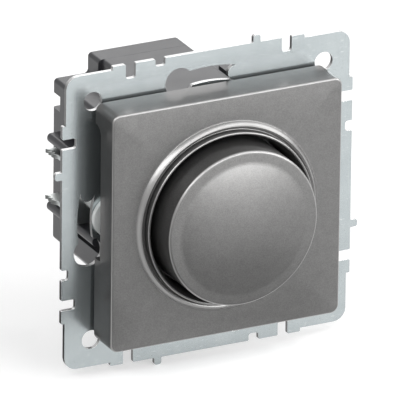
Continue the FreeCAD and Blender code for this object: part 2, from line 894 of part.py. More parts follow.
def push_switch():
    half = switch_half
    body = slab(rectangle(-half, half, -half, half), switch_corner_round, control_rear, board_front)
    depth = shaft_rear + plunger_length + plunger_travel_room
    return body.cut(rod(plunger_diameter / 2 + plunger_play, control_rear - past, depth))


def switch_plunger():
    return rod(plunger_diameter / 2, shaft_rear, shaft_rear + plunger_length)


def board_outline():
    wing, half = board_wing_half_width, board_half_width
    step, low, slant = board_wing_half_height, board_bottom, board_chamfer
    return [
        (-half, slant - low), (slant - half, -low), (half - slant, -low), (half, slant - low),
        (half, -step), (wing, -step), (wing, step), (half, step),
        (half, board_top), (-half, board_top), (-half, step), (-wing, step), (-wing, -step), (-half, -step),
    ]


def triac_lead_places():
    # Each lead leaves the triac's lower end at this Y and turns into the board at this Z
    x = heat_sink_outer - heat_sink_thickness - triac_lead_setback
    places = []
    for index in range(3):
        y = triac_y + (index - 1) * triac_lead_pitch
        z = triac_z - triac_lead_run - index * triac_lead_step
        places.append((x, y, z))
    return places


def circuit_board():
    board = slab(board_outline(), board_corner_round, board_front, board_back)
    holes = []
    for x, z in control_pin_places():
        holes.append(rod(control_pin_diameter / 2 + pin_play, board_front - past, board_back + past, x, z))
    for x, _, z in triac_lead_places():
        holes.append(rod(triac_lead / 2 + pin_play, board_front - past, board_back + past, x, z))
    return board.cut(holes)


def choke():
    # A ring core with its winding, seen as one rounded ring
    ring = rod(choke_radius, board_back, board_back + choke_height, choke_x, choke_z)
    ring = ring.cut(rod(choke_hole, board_back - past, board_back + choke_height + past, choke_x, choke_z))
    edges = [edge for edge in ring.Edges if edge.BoundBox.YLength < 0.001]
    return ring.makeFillet(choke_round, edges)


def capacitor():
    x0 = capacitor_x - capacitor_width / 2
    z0 = capacitor_z - capacitor_height / 2
    body = slab(rectangle(x0, x0 + capacitor_width, z0, z0 + capacitor_height), capacitor_round,
                board_back, board_back + capacitor_depth)
    return body


def fuse():
    # A glass tube between two metal caps
    y = board_back + fuse_height
    x0 = fuse_x - fuse_length / 2
    tube = Part.makeCylinder(fuse_radius - fuse_cap_wall, fuse_length, V(x0, y, fuse_z), ALONG_X)
    caps = [Part.makeCylinder(fuse_radius, fuse_cap_length, V(start, y, fuse_z), ALONG_X)
            for start in (x0, x0 + fuse_length - fuse_cap_length)]
    return joined([tube] + caps)


def fuse_clips():
    # Two spring clips, each a cradle on a foot
    y = board_back + fuse_height
    clips = []
    for way in (-1, 1):
        middle = fuse_x + way * (fuse_length - fuse_cap_length) / 2
        start = middle - clip_width / 2
        ring = Part.makeCylinder(fuse_radius + clip_sheet, clip_width, V(start, y, fuse_z), ALONG_X)
        foot = box(start, start + clip_width, board_back, y, fuse_z - clip_foot_half, fuse_z + clip_foot_half)
        bore = Part.makeCylinder(fuse_radius, clip_width + 2 * past, V(start - past, y, fuse_z), ALONG_X)
        mouth = box(start - past, start + clip_width + past, y + clip_mouth_height, y + 2 * fuse_radius,
                    fuse_z - 2 * fuse_radius, fuse_z + 2 * fuse_radius)
        clips.append(joined([ring, foot]).cut([bore, mouth]))
    return clips


def heat_sink():
    outer = heat_sink_outer
    inner = outer - heat_sink_thickness
    half = heat_sink_half_height
    plate = box(inner, outer, board_back, inner_back - heat_sink_back_gap, -half, half)
    return plate.cut(Part.makeCylinder(triac_screw_diameter / 2, heat_sink_thickness + 2 * past,
                                       V(inner - past, triac_y, triac_screw_z), ALONG_X))


def triac():
    # A body with a metal tab, flat on the heat sink, and three leads that turn into the board
    face = heat_sink_outer - heat_sink_thickness
    y0 = triac_y - triac_width / 2
    y1 = triac_y + triac_width / 2
    body_top = triac_z + triac_body_length
    tab_front = face - triac_tab_thickness
    radius = triac_lead / 2
    pieces = [
        box(face - triac_body_thickness, face, y0, y1, triac_z, body_top),
        box(tab_front, face, y0, y1, body_top - root, body_top + triac_tab_length),
    ]
    for x, y, z in triac_lead_places():
        pieces.append(post(radius, z, triac_z + root, x, y))
        pieces.append(rod(radius, board_front - triac_lead_overrun, y, x, z))
        pieces.append(Part.makeSphere(radius, V(x, y, z)))
    hole = Part.makeCylinder(triac_screw_diameter / 2, triac_tab_thickness + 2 * past,
                             V(tab_front - past, triac_y, triac_screw_z), ALONG_X)
    return joined(pieces).cut(hole)


def triac_screw():
    seat = heat_sink_outer - heat_sink_thickness - triac_tab_thickness
    head = Part.makeCylinder(triac_screw_head / 2, triac_screw_head_height,
                             V(seat - triac_screw_head_height, triac_y, triac_screw_z), ALONG_X)
    shank = Part.makeCylinder(triac_screw_diameter / 2, heat_sink_outer - seat,
                              V(seat, triac_y, triac_screw_z), ALONG_X)
    return joined([head, shank])


def resistors():
    # They stand on the board in a row
    places = [resistor_z - index * resistor_pitch for index in range(resistor_count)]
    return [rod(resistor_radius, board_back, board_back + resistor_length, resistor_x, z) for z in places]


def terminal_block():
    half = terminal_block_half
    block = box(-half, half, board_back, terminal_block_end, -inner_floor, -terminal_block_top)
    cuts = []
    chamber_half = clamp_width / 2 + clamp_side_play
    chamber_front = terminal_y - clamp_depth / 2 - clamp_play
    chamber_floor = inner_floor - terminal_head_height - clamp_play
    for x in terminal_places():
        cuts.append(box(x - chamber_half, x + chamber_half, chamber_front, terminal_block_end + past,
                        -chamber_floor, -clamp_top + clamp_play))
        cuts.append(box(x - bar_width / 2, x + bar_width / 2, board_back - past, chamber_front + past,
                        -bar_bottom, -bar_top))
        head = terminal_head_diameter / 2 + terminal_head_play
        cuts.append(post(head, -inner_floor - past, -chamber_floor + past, x, terminal_y))
    return block.cut(cuts)


def terminal_bars():
    end = terminal_y + clamp_depth / 2 + bar_overrun
    return [box(x - bar_width / 2, x + bar_width / 2, board_back, end, -bar_bottom, -bar_top)
            for x in terminal_places()]


def terminal_clamp(x):
    # A brass cage: the screw is threaded in its floor and the wire goes through its window
    half = clamp_width / 2
    y0 = terminal_y - clamp_depth / 2
    y1 = terminal_y + clamp_depth / 2
    cage = box(x - half, x + half, y0, y1, -clamp_bottom, -clamp_top)
    window = box(x - half + clamp_wall_x, x + half - clamp_wall_x, y0 - past, y1 + past,
                 -clamp_bottom + clamp_wall_z, -clamp_top - clamp_wall_z)
    radius = terminal_screw_core / 2 + terminal_thread_play
    thread = post(radius, -clamp_bottom - past, -clamp_bottom + clamp_wall_z + past, x, terminal_y)
    return cage.cut([window, thread])


def terminal_screw(x):
    # Its slotted head looks down through the hole in the housing's floor
    base = -inner_floor + terminal_tip_gap
    head = post(terminal_head_diameter / 2, base, base + terminal_head_height, x, terminal_y)
    shank = post(terminal_screw_core / 2, base + terminal_head_height - root, -bar_bottom - terminal_tip_gap,
                 x, terminal_y)
    half = terminal_slot_width / 2
    slot = box(x - terminal_head_diameter, x + terminal_head_diameter, terminal_y - half, terminal_y + half,
               base - past, base + terminal_slot_depth)
    return joined([head, shank]).cut(slot)


def write(name, shape):
    if isinstance(shape, list):
        shape = Part.makeCompound(shape)
    if not shape.isValid():
        print("not valid:", name)
    print("%-18s solids %d volume %.1f" % (name, len(shape.Solids), shape.Volume))
    shape.exportStep("parts/" + name + ".step")


def main():
    os.makedirs("parts", exist_ok=True)
    left_claw = claw()
    left_screw = claw_screw()
    write("support_frame", support_frame())
    write("cover_plate", cover_plate())
    write("knob", knob())
    write("knob_spring", knob_spring())
    write("control_shaft", control_shaft())
    write("control_body", control_body())
    write("bush_washer", bush_washer())
    write("bush_nut", bush_nut())
    write("push_switch", push_switch())
    write("switch_plunger", switch_plunger())
    write("housing", housing())
    write("rear_cover", rear_cover())
    write("frame_screws", frame_screws())
    write("rear_cover_screws", rear_cover_screws())
    write("claw_left", left_claw)
    write("claw_right", turned(left_claw, 2))
    write("claw_screw_left", left_screw)
    write("claw_screw_right", turned(left_screw, 2))
    write("circuit_board", circuit_board())
    write("choke", choke())
    write("capacitor", capacitor())
    write("fuse", fuse())
    write("fuse_clips", fuse_clips())
    write("heat_sink", heat_sink())
    write("triac", triac())
    write("triac_screw", triac_screw())
    write("resistors", resistors())
    write("terminal_block", terminal_block())
    write("terminal_bars", terminal_bars())
    for index, x in enumerate(terminal_places(), start=1):
        write("terminal_screw_%d" % index, terminal_screw(x))
        write("terminal_clamp_%d" % index, terminal_clamp(x))


main()
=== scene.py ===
import json
import math

import bmesh
import bpy
from mathutils import Matrix, Vector

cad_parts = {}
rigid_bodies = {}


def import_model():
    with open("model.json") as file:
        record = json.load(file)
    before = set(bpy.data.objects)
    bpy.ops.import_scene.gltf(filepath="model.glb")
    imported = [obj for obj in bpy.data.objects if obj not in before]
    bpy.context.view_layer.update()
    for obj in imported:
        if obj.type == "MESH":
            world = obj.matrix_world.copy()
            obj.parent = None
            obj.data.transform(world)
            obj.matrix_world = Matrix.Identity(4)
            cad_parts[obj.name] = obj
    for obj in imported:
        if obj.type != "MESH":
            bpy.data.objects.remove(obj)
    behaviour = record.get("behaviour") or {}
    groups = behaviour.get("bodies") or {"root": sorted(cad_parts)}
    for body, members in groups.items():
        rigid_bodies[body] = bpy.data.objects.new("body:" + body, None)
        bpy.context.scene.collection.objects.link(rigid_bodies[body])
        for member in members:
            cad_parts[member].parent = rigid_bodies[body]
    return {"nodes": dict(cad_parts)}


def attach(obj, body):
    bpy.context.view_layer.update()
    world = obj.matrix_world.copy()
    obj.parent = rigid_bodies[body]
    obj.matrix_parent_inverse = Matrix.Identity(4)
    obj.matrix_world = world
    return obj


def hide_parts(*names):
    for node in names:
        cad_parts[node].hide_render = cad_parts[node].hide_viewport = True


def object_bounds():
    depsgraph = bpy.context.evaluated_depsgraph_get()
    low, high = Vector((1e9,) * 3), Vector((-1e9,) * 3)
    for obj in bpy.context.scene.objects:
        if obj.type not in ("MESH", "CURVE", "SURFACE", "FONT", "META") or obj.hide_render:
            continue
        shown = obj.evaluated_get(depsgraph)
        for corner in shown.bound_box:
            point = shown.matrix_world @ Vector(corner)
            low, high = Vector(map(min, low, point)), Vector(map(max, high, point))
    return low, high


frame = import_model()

# Flush-mounted rotary dimmer, in metres, in the frame of the solids:
# +Z is up, the knob points to -Y, and the support frame's back lies at Y 0.

cad_low, cad_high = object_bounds()
MM = 0.001

# Camera, as the photograph was taken
view_azimuth = -26.59
view_elevation = 22.47
view_roll = 0.698
view_distance = 2.5115
view_lens = 1027.8
view_right = -1.165 * MM
view_up = -0.273 * MM

# Support frame; a notch is given by its place along the side and its depth
frame_thickness = 1.0 * MM
frame_half = 35.5 * MM
frame_core = 34.65 * MM
frame_corner_radius = 3.0 * MM
side_half_length = 23.4 * MM
notch_width = 2.4 * MM
notch_round = 0.6 * MM
deep_notch = (19.05 * MM, 3.4 * MM)
shallow_notch = (11.85 * MM, 1.7 * MM)
bump_offset = 11.7 * MM
bump_width = 1.75 * MM
bump_height = 1.7 * MM
corner_hole_offset = 28.2 * MM
corner_hole_radius = 2.2 * MM
slot_radius = 30.0 * MM
slot_half_width = 1.75 * MM
slot_end = 6.5 * MM
keyhole_radius = 3.4 * MM
keyhole_offset = 7.2 * MM
stamped_edge = 0.15 * MM
claw_screw_hole = 1.75 * MM
peg_hole = 1.35 * MM
housing_screw_hole = 1.5 * MM
housing_screw_x = 17.5 * MM
housing_screw_z = 16.5 * MM

# Cover plate; its well stands on the support frame
cover_half = 28.0 * MM
cover_corner = 1.9 * MM
corner_shrink = 0.9      # what a corner's radius loses, as a share of the edge's inset
cover_front = -10.6 * MM
cover_rear = -2.0 * MM
cover_edge = 0.45 * MM
cover_wall = 1.6 * MM
cover_inside = -8.8 * MM
inside_corner = 0.3 * MM
skirt_edge = 0.1 * MM
well_radius = 18.9 * MM
well_outer = 20.2 * MM
well_middle = 12.0 * MM
well_floor = -2.8 * MM
well_rear = -frame_thickness
well_fillet = 0.4 * MM
well_fillet_sag = 0.1 * MM
bush_hole = 5.15 * MM
window_low = -8.3 * MM
window_high = 23.5 * MM
window_front = -4.8 * MM
window_rear = 0.4 * MM
window_round = 2.5 * MM
window_corner = 0.3 * MM
peg_radius = 1.2 * MM
peg_offset = 15.0 * MM
peg_root = -1.5 * MM
peg_end = 0.8 * MM
peg_chamfer = 0.3 * MM
cover_rib_width = 1.0 * MM
cover_rib_depth = 3.8 * MM
cover_rib_start = 19.5 * MM
cover_rib_end = 38.4 * MM
cover_rib_sunk = 0.5 * MM

# Collar round the well, outwards: lip, groove, bead and the fillet at its foot; the crest is given by
# its radius and height, and the sags belong to the bead's two sides
lip_edges = (19.65 * MM, 20.25 * MM)
lip_height = 2.3 * MM
lip_round = 0.28 * MM
groove_edges = (20.3 * MM, 20.45 * MM)
groove_height = 0.3 * MM
groove_round = 0.1 * MM
groove_sag = 0.03 * MM
bead_crest = (21.2 * MM, 1.0 * MM)
bead_sags = (0.16 * MM, 0.077 * MM)
bead_foot = 22.1 * MM
foot_inset = 0.028 * MM
foot_outset = 0.048 * MM
foot_rise = 0.08 * MM
foot_sag = 0.015 * MM
foot_border = 0.35 * MM

# Knob
knob_radius = 18.1 * MM
knob_front = -18.9 * MM
knob_rear = -4.6 * MM
knob_inside = -16.9 * MM
knob_wall = 1.8 * MM
knob_edge = 0.55 * MM
knob_rear_edge = 0.15 * MM
dome_radius = 15.4 * MM
dome_rim = -19.05 * MM
dome_top = -20.9 * MM
hub_radius = 5.2 * MM
hub_rear = -8.8 * MM
hub_sunk = 0.4 * MM
hub_edge = 0.12 * MM
hub_fit = 0.02 * MM
shaft_radius = 3.0 * MM
shaft_flat = 1.6 * MM
knob_rib_count = 6
knob_rib_width = 1.0 * MM
knob_rib_rear = -13.3 * MM
knob_rib_sunk = 0.3 * MM
knob_rib_overlap = 0.4 * MM

# Claw screws, with a crossed recess that narrows inwards
claw_screw_x = 23.5 * MM
claw_screw_z = 0.5 * MM
claw_screw_seat = -1.05 * MM
claw_head_radius = 4.8 * MM
claw_head_height = 1.9 * MM
claw_head_rim = 1.3 * MM
claw_head_round = 0.12 * MM
claw_head_play = 0.25 * MM
cross_length = 5.2 * MM
cross_width = 0.95 * MM
cross_depth = 1.3 * MM
cross_above = 0.5 * MM
cross_taper = 0.6
claw_shank_radius = 1.45 * MM
claw_shank_end = 14.95 * MM
claw_shank_sunk = 0.2 * MM
claw_shank_tip = 0.6 * MM
claw_thread_start = 0.6 * MM
claw_thread_pitch = 0.6 * MM
claw_thread_depth = 0.22 * MM
claw_thread_sunk = 0.03 * MM

# Solids that keep their own mesh and carry a pattern
resistor_rings = ((16.1 * MM, (0.30, 0.05, 0.03)), (17.5 * MM, (0.02, 0.02, 0.02)),
                  (18.9 * MM, (0.45, 0.20, 0.02)))
resistor_ring_half = 0.28 * MM
resistor_ring_soft = 0.06 * MM
fuse_middle = -6.5 * MM
fuse_cap_start = 5.0 * MM
fuse_cap_soft = 0.05 * MM

UP = Vector((0, 0, 1))
SQUARE = ((-1, -1), (1, -1), (1, 1), (-1, 1))      # a square's corners in order


class Value:
    """A shader socket that takes Python's arithmetic."""

    def __init__(self, paint, socket):
        self.paint = paint
        self.socket = socket

    def math(self, operation, *others):
        return self.paint.node("ShaderNodeMath", {"operation": operation}, dict(enumerate((self,) + others)))

    def __add__(self, other):
        return self.math("ADD", other)

    def __sub__(self, other):
        return self.math("SUBTRACT", other)

    def __mul__(self, other):
        return self.math("MULTIPLY", other)

    def __rsub__(self, other):
        return self.math("MULTIPLY", -1.0).math("ADD", other)

    __radd__ = __add__
    __rmul__ = __mul__

    def within(self, low, high):
        """0 below low, 1 above high, and a straight rise between them."""
        rise = self.math("SUBTRACT", low).math("DIVIDE", high - low)
        return rise.math("MINIMUM", 1.0).math("MAXIMUM", 0.0)


class Shading:
    """A shader tree and the nodes that make it."""

    def __init__(self, tree):
        self.tree = tree
        self.tree.nodes.clear()

    def feed(self, slot, item):
        if isinstance(item, Value):
            self.tree.links.new(item.socket, slot)
        elif isinstance(item, (tuple, list)) and slot.type == "RGBA":
            slot.default_value = tuple(item)[:3] + (1.0,)
        else:
            slot.default_value = item

    def node(self, kind, settings, sockets, output=0):
        """A node's output, after its settings and the values or links of its sockets."""
        made = self.tree.nodes.new(kind)
        for name, setting in settings.items():
            setattr(made, name, setting)
        for name, item in sockets.items():
            self.feed(made.inputs[name], item)
        return Value(self, made.outputs[output])

    def place(self, stretch=(1, 1, 1)):
        """Object coordinates in metres, stretched along the axes."""
        spot = self.node("ShaderNodeTexCoord", {}, {}, "Object")
        if tuple(stretch) == (1, 1, 1):
            return spot
        return self.node("ShaderNodeMapping", {}, {"Vector": spot, "Scale": stretch})

    def along(self, axis):
        """How far the surface lies along an axis of the object, in metres."""
        return self.node("ShaderNodeSeparateXYZ", {}, {0: self.place()}, axis)

    def facing(self, axis):
        """How far the surface faces along an axis of the object, from -1 to 1."""
        normal = self.node("ShaderNodeTexCoord", {}, {}, "Normal")
        return self.node("ShaderNodeSeparateXYZ", {}, {0: normal}, axis)

    def noise(self, grain, detail=2.0, rough=0.5, stretch=(1, 1, 1)):
        """Noise whose grains are about that many metres across."""
        sockets = {"Vector": self.place(stretch), "Scale": 1.0 / grain, "Detail": detail, "Roughness": rough}
        return self.node("ShaderNodeTexNoise", {}, sockets)

    def cells(self, grain, output="Distance"):
        """Cells about that many metres across."""
        return self.node("ShaderNodeTexVoronoi", {}, {"Vector": self.place(), "Scale": 1.0 / grain}, output)

    def blend(self, factor, low, high):
        """A colour between two, by a factor from 0 to 1."""
        settings = {"data_type": "RGBA", "clamp_factor": True}
        return self.node("ShaderNodeMix", settings, {0: factor, 6: low, 7: high}, 2)

    def bump(self, height, depth):
        """A bump whose height of 1 stands for that depth in metres."""
        return self.node("ShaderNodeBump", {}, {"Height": height, "Strength": 1.0, "Distance": depth})

    def seen(self):
        """1 for what the camera sees, itself or in reflections and glass, and 0 for other rays."""
        total = self.node("ShaderNodeLightPath", {}, {}, "Is Camera Ray")
        for name in ("Is Glossy Ray", "Is Transmission Ray"):
            total = total.math("MAXIMUM", self.node("ShaderNodeLightPath", {}, {}, name))
        return total

    def end(self, kind, surface):
        """The surface as the tree's result."""
        out = self.tree.nodes.new(kind)
        self.tree.links.new(surface.socket, out.inputs[0])


class Paint(Shading):
    """One material."""

    def __init__(self, name):
        self.material = bpy.data.materials.new(name)
        self.material.use_nodes = True
        super().__init__(self.material.node_tree)

    def finish(self, **sockets):
        sockets = {name.replace("_", " "): item for name, item in sockets.items()}
        self.end("ShaderNodeOutputMaterial", self.node("ShaderNodeBsdfPrincipled", {}, sockets))
        return self.material


def tone(grey, warmth=0.0):
    """A grey with a little more red and less blue."""
    return (grey * (1 + warmth), grey, grey * (1 - warmth))


def graphite_lacquer():
    # A dark lacquer with fine metal flakes under a satin clear coat, and a painted highlight: a lighter
    # colour where a surface turns from front to side
    paint = Paint("graphite_lacquer")
    flake = paint.cells(0.16 * MM, "Color")
    flake = paint.node("ShaderNodeSeparateColor", {}, {"Color": flake})
    cloud = paint.noise(2.2 * MM, 3.0)
    level = flake * 0.55 + cloud * 0.45
    front = paint.facing(1).math("ABSOLUTE")
    # Painted highlight: the colour is lighter, and a little smoother, where a surface turns from front to
    # side
    painted_highlight_band = front.within(0.1, 0.35) * (1 - front.within(0.9, 0.965))
    colour = paint.blend(level, tone(0.093, 0.01), tone(0.148, 0.01))
    colour = paint.blend(painted_highlight_band, colour, tone(0.27, 0.01))
    grain = paint.noise(0.22 * MM, 2.0)
    return paint.finish(Base_Color=colour, Metallic=0.9, Roughness=0.36 + 0.08 * flake - 0.06 * painted_highlight_band,
                        Coat_Weight=0.3, Coat_Roughness=0.16, Normal=paint.bump(grain, 0.004 * MM))


def zinc_sheet():
    # Rolled and plated steel sheet: faint clouds, rolling lines and handling marks; its sheared edges
    # are dark grey, with a painted highlight where they face up and where they turn into the flat
    paint = Paint("zinc_sheet")
    cloud = paint.noise(7.0 * MM, 4.0, 0.6)
    lines = paint.noise(0.35 * MM, 3.0, 0.6, (1.0, 1.0, 0.06))
    speck = paint.cells(0.9 * MM).within(0.05, 0.16)
    patch = paint.noise(9.0 * MM, 2.0).within(0.5, 0.62)
    mark = paint.noise(0.5 * MM, 3.0, 0.65, (0.25, 1.0, 1.0)).within(0.60, 0.72)
    face = paint.blend(cloud * 0.65 + lines * 0.35, (0.318, 0.352, 0.362), (0.453, 0.487, 0.492))
    face = paint.blend(mark * 0.45, face, (0.66, 0.69, 0.69))
    face = paint.blend((1 - speck) * patch * 0.6, face, tone(0.16))
    flat = paint.facing(1).math("ABSOLUTE")
    edge_on = flat.within(0.35, 0.8)
    shear = paint.noise(0.12 * MM, 2.0, 0.6, (1.0, 0.15, 1.0))
    edge = paint.blend(shear, tone(0.10), tone(0.30))
    # Painted highlight: sheared edges that face up are lighter
    edge = paint.blend(paint.facing(2).within(0.3, 0.7), edge, tone(0.6))
    colour = paint.blend(edge_on, edge, face)
    # Painted highlight: a near-white band where an edge turns into the flat
    painted_edge_highlight = flat.within(0.2, 0.5) * (1 - flat.within(0.9, 0.985))
    colour = paint.blend(painted_edge_highlight, colour, tone(0.86))
    height = cloud * 0.5 + lines * 0.35 + speck * 0.15
    return paint.finish(Base_Color=colour, Metallic=0.88, Roughness=0.2 + 0.12 * (1 - edge_on) + 0.05 * lines,
                        Normal=paint.bump(height, 0.012 * MM))


def moulded(name, colour, shine, grain=0.12 * MM, depth=0.006 * MM):
    # Moulded plastic with a fine even grain and faint flow marks
    paint = Paint(name)
    flow = paint.noise(5.0 * MM, 3.0)
    fine = paint.noise(grain, 2.0)
    spread = 0.14
    dark = tuple(part * (1 - spread) for part in colour)
    light = tuple(min(part * (1 + spread), 1.0) for part in colour)
    shade = paint.blend(flow * 0.7 + fine * 0.3, dark, light)
    return paint.finish(Base_Color=shade, Roughness=shine + 0.12 * flow, IOR=1.5,
                        Normal=paint.bump(fine, depth))


def plated(name, dark, light, shine, grain=0.5 * MM, stretch=(1, 1, 1), metal=1.0):
    # Bright metal with drawn or turned marks
    paint = Paint(name)
    marks = paint.noise(grain, 3.0, 0.6, stretch)
    cloud = paint.noise(2.5 * MM, 2.0)
    colour = paint.blend(marks * 0.6 + cloud * 0.4, dark, light)
    return paint.finish(Base_Color=colour, Metallic=metal, Roughness=shine + 0.14 * marks,
                        Normal=paint.bump(marks, 0.0015 * MM))


def laminate():
    # Green lacquered board, paler along its cut edge
    paint = Paint("board_lacquer")
    weave = paint.noise(0.5 * MM, 2.0)
    face = paint.blend(weave, (0.012, 0.085, 0.035), (0.022, 0.13, 0.055))
    edge_on = paint.facing(1).math("ABSOLUTE").within(0.3, 0.8)
    colour = paint.blend(edge_on, (0.20, 0.22, 0.10), face)
    return paint.finish(Base_Color=colour, Roughness=0.32 + 0.1 * weave, Normal=paint.bump(weave, 0.004 * MM))


def banded_coat():
    # Lacquered resistors with three coloured rings
    paint = Paint("resistor_coat")
    spot = paint.along(1)
    fine = paint.noise(0.3 * MM)
    colour = paint.blend(fine, (0.30, 0.40, 0.42), (0.38, 0.48, 0.50))
    for place, ring in resistor_rings:
        away = (spot - place).math("ABSOLUTE")
        beside = away.within(resistor_ring_half, resistor_ring_half + resistor_ring_soft)
        colour = paint.blend(beside, ring, colour)
    return paint.finish(Base_Color=colour, Roughness=0.35 + 0.1 * fine, Normal=paint.bump(fine, 0.004 * MM))


def fuse_surface():
    # Clear tube between two nickel plated caps
    paint = Paint("fuse_tube")
    away = (paint.along(0) - fuse_middle).math("ABSOLUTE")
    capped = away.within(fuse_cap_start - fuse_cap_soft, fuse_cap_start + fuse_cap_soft)
    marks = paint.noise(0.4 * MM)
    colour = paint.blend(capped, (0.80, 0.84, 0.84), (0.66, 0.64, 0.60))
    gloss = 0.08 + 0.2 * capped + 0.05 * marks
    return paint.finish(Base_Color=colour, Metallic=capped * 0.95, Roughness=gloss,
                        Alpha=0.35 + 0.65 * capped, Normal=paint.bump(marks, 0.002 * MM))


LACQUER = graphite_lacquer()
ZINC = zinc_sheet()
HOUSING = moulded("housing_plastic", (0.030, 0.030, 0.034), 0.26)
DARK = moulded("dark_plastic", (0.018, 0.018, 0.020), 0.42)
PALE = moulded("pale_plastic", (0.60, 0.60, 0.57), 0.38)
BLOCK = moulded("terminal_plastic", (0.34, 0.34, 0.33), 0.42)
CASE = moulded("capacitor_case", (0.52, 0.36, 0.04), 0.26, 0.3 * MM)
CORE = moulded("choke_core", (0.16, 0.20, 0.05), 0.34, 0.2 * MM)
BRIGHT = plated("bright_zinc", (0.52, 0.55, 0.55), (0.76, 0.78, 0.76), 0.20, 0.4 * MM)
SATIN = plated("satin_zinc", (0.60, 0.62, 0.62), (0.78, 0.80, 0.79), 0.34, 0.6 * MM, metal=0.45)
CLAW = plated("claw_zinc", (0.46, 0.49, 0.49), (0.70, 0.72, 0.70), 0.26, 0.35 * MM, (1.0, 0.2, 1.0))
SPRING = plated("spring_wire", (0.40, 0.41, 0.42), (0.58, 0.59, 0.60), 0.22)
BRASS = plated("turned_brass", (0.52, 0.36, 0.13), (0.72, 0.54, 0.24), 0.24)
TINNED = plated("tinned_brass", (0.55, 0.52, 0.44), (0.70, 0.68, 0.60), 0.28)
SINK = plated("mill_aluminium", (0.60, 0.61, 0.62), (0.76, 0.77, 0.78), 0.34, 0.4 * MM, (1.0, 0.08, 1.0))
BOARD = laminate()
RESISTOR = banded_coat()
FUSE = fuse_surface()


def tidy(mesh, angle):
    """Smooth shading, with the edges sharper than the angle kept sharp."""
    mesh.polygons.foreach_set("use_smooth", [True] * len(mesh.polygons))
    mesh.set_sharp_from_angle(angle=math.radians(angle))
    mesh.update()


def linked(name, data):
    """A new object in the scene."""
    made = bpy.data.objects.new(name, data)
    bpy.context.scene.collection.objects.link(made)
    return made


def piece(name, mesh, material, body, replaced=()):
    """A finished piece: its mesh is already in place."""
    made = linked(name, mesh)
    mesh.materials.clear()
    mesh.materials.append(material)
    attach(made, body)
    if replaced:
        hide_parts(*replaced)
    return made


def baked(source):
    """A plain mesh of an object with its modifiers; the object is then removed."""
    graph = bpy.context.evaluated_depsgraph_get()
    mesh = bpy.data.meshes.new_from_object(source.evaluated_get(graph))
    old = source.data
    bpy.data.objects.remove(source)
    if old.users == 0:
        bpy.data.meshes.remove(old)
    return mesh


def rounded(points, steps):
    """A closed outline of (u, v, radius) corners, with an arc in each corner that has a radius."""
    path = []
    count = len(points)
    for index in range(count):
        here = Vector(points[index][:2])
        radius = points[index][2]
        if radius <= 0:
            path.append(here)
            continue
        back = (Vector(points[index - 1][:2]) - here).normalized()
        forth = (Vector(points[(index + 1) % count][:2]) - here).normalized()
        half = back.angle(forth) / 2
        reach = radius / math.tan(half)
        centre = here + (back + forth).normalized() * (radius / math.sin(half))
        start = here + back * reach - centre
        end = here + forth * reach - centre
        turn = start.angle_signed(end)
        for step in range(steps + 1):
            angle = -turn * step / steps
            spun = Matrix.Rotation(angle, 2) @ start
            path.append(centre + spun)
    return path


def arc(u0, v0, u1, v1, sag, steps):
    """Points from one place to the other on an arc that leaves the straight line by the sag."""
    start, end = Vector((u0, v0)), Vector((u1, v1))
    chord = end - start
    normal = Vector((-chord.y, chord.x)).normalized()
    radius = (chord.length ** 2 / 4 + sag ** 2) / (2 * sag)
    centre = (start + end) / 2 + normal * (sag - radius)
    first = start - centre
    turn = first.angle_signed(end - centre)
    return [centre + Matrix.Rotation(-turn * step / steps, 2) @ first for step in range(steps + 1)]


def circle(radius, count, u=0.0, v=0.0):
    """As many even points as the count on a circle round (u, v)."""
    step = 2 * math.pi / count
    return [Vector((u + radius * math.sin(k * step), v + radius * math.cos(k * step))) for k in range(count)]


def mesh_of(work, name):
    """The finished work as a plain mesh."""
    mesh = bpy.data.meshes.new(name)
    work.to_mesh(mesh)
    work.free()
    return mesh


def plate_mesh(name, outer, holes, y0, y1, edge):
    """A flat plate across Y with holes; its outlines are (x, z) points, its edges slightly rounded."""
    work = bmesh.new()
    for outline in [outer] + holes:
        ring = [work.verts.new((p[0], y0, p[1])) for p in outline]
        for index in range(len(ring)):
            work.edges.new((ring[index - 1], ring[index]))
    bmesh.ops.triangle_fill(work, use_beauty=True, use_dissolve=False, edges=work.edges[:])
    bottom = work.faces[:]
    made = bmesh.ops.extrude_face_region(work, geom=bottom)
    top = [item for item in made["geom"] if isinstance(item, bmesh.types.BMVert)]
    bmesh.ops.translate(work, verts=top, vec=(0, y1 - y0, 0))
    bmesh.ops.recalc_face_normals(work, faces=work.faces[:])
    work.normal_update()
    rims = [e for e in work.edges if len(e.link_faces) == 2
            and abs(abs(e.link_faces[0].normal.y) - abs(e.link_faces[1].normal.y)) > 0.5]
    bmesh.ops.bevel(work, geom=rims, offset=edge, offset_type="OFFSET", segments=2,
                    profile=0.5, affect="EDGES", clamp_overlap=True)
    return mesh_of(work, name)


def even_normals(mesh):
    """Shading that keeps a plate's flat sides flat and turns only in its rounded edges."""
    flat, walls = {}, {}
    for face in mesh.polygons:
        for vert in face.vertices:
            if abs(face.normal.y) > 0.999:
                flat[vert] = face.normal.copy()
            elif abs(face.normal.y) < 0.02:
                walls[vert] = walls.get(vert, Vector()) + face.normal * face.area
    normals = []
    for vert in mesh.vertices:
        normal = flat.get(vert.index) or walls.get(vert.index) or vert.normal
        normals.append(Vector(normal).normalized())
    mesh.polygons.foreach_set("use_smooth", [True] * len(mesh.polygons))
    mesh.normals_split_custom_set_from_vertices(normals)


def loft_mesh(name, rings):
    """Quads between rings of as many points each, and from the last ring to the first."""
    work = bmesh.new()
    rows = [[work.verts.new(point) for point in ring] for ring in rings]
    for low, high in zip(rows, rows[1:] + rows[:1]):
        for index in range(len(low)):
            work.faces.new((low[index - 1], low[index], high[index], high[index - 1]))
    bmesh.ops.recalc_face_normals(work, faces=work.faces[:])
    return mesh_of(work, name)


def prism_mesh(name, first, last):
    """A solid between two outlines of as many points each."""
    work = bmesh.new()
    low = [work.verts.new(point) for point in first]
    high = [work.verts.new(point) for point in last]
    work.faces.new(low)
    work.faces.new(high)
    for index in range(len(low)):
        work.faces.new((low[index - 1], low[index], high[index], high[index - 1]))
    bmesh.ops.recalc_face_normals(work, faces=work.faces[:])
    return mesh_of(work, name)


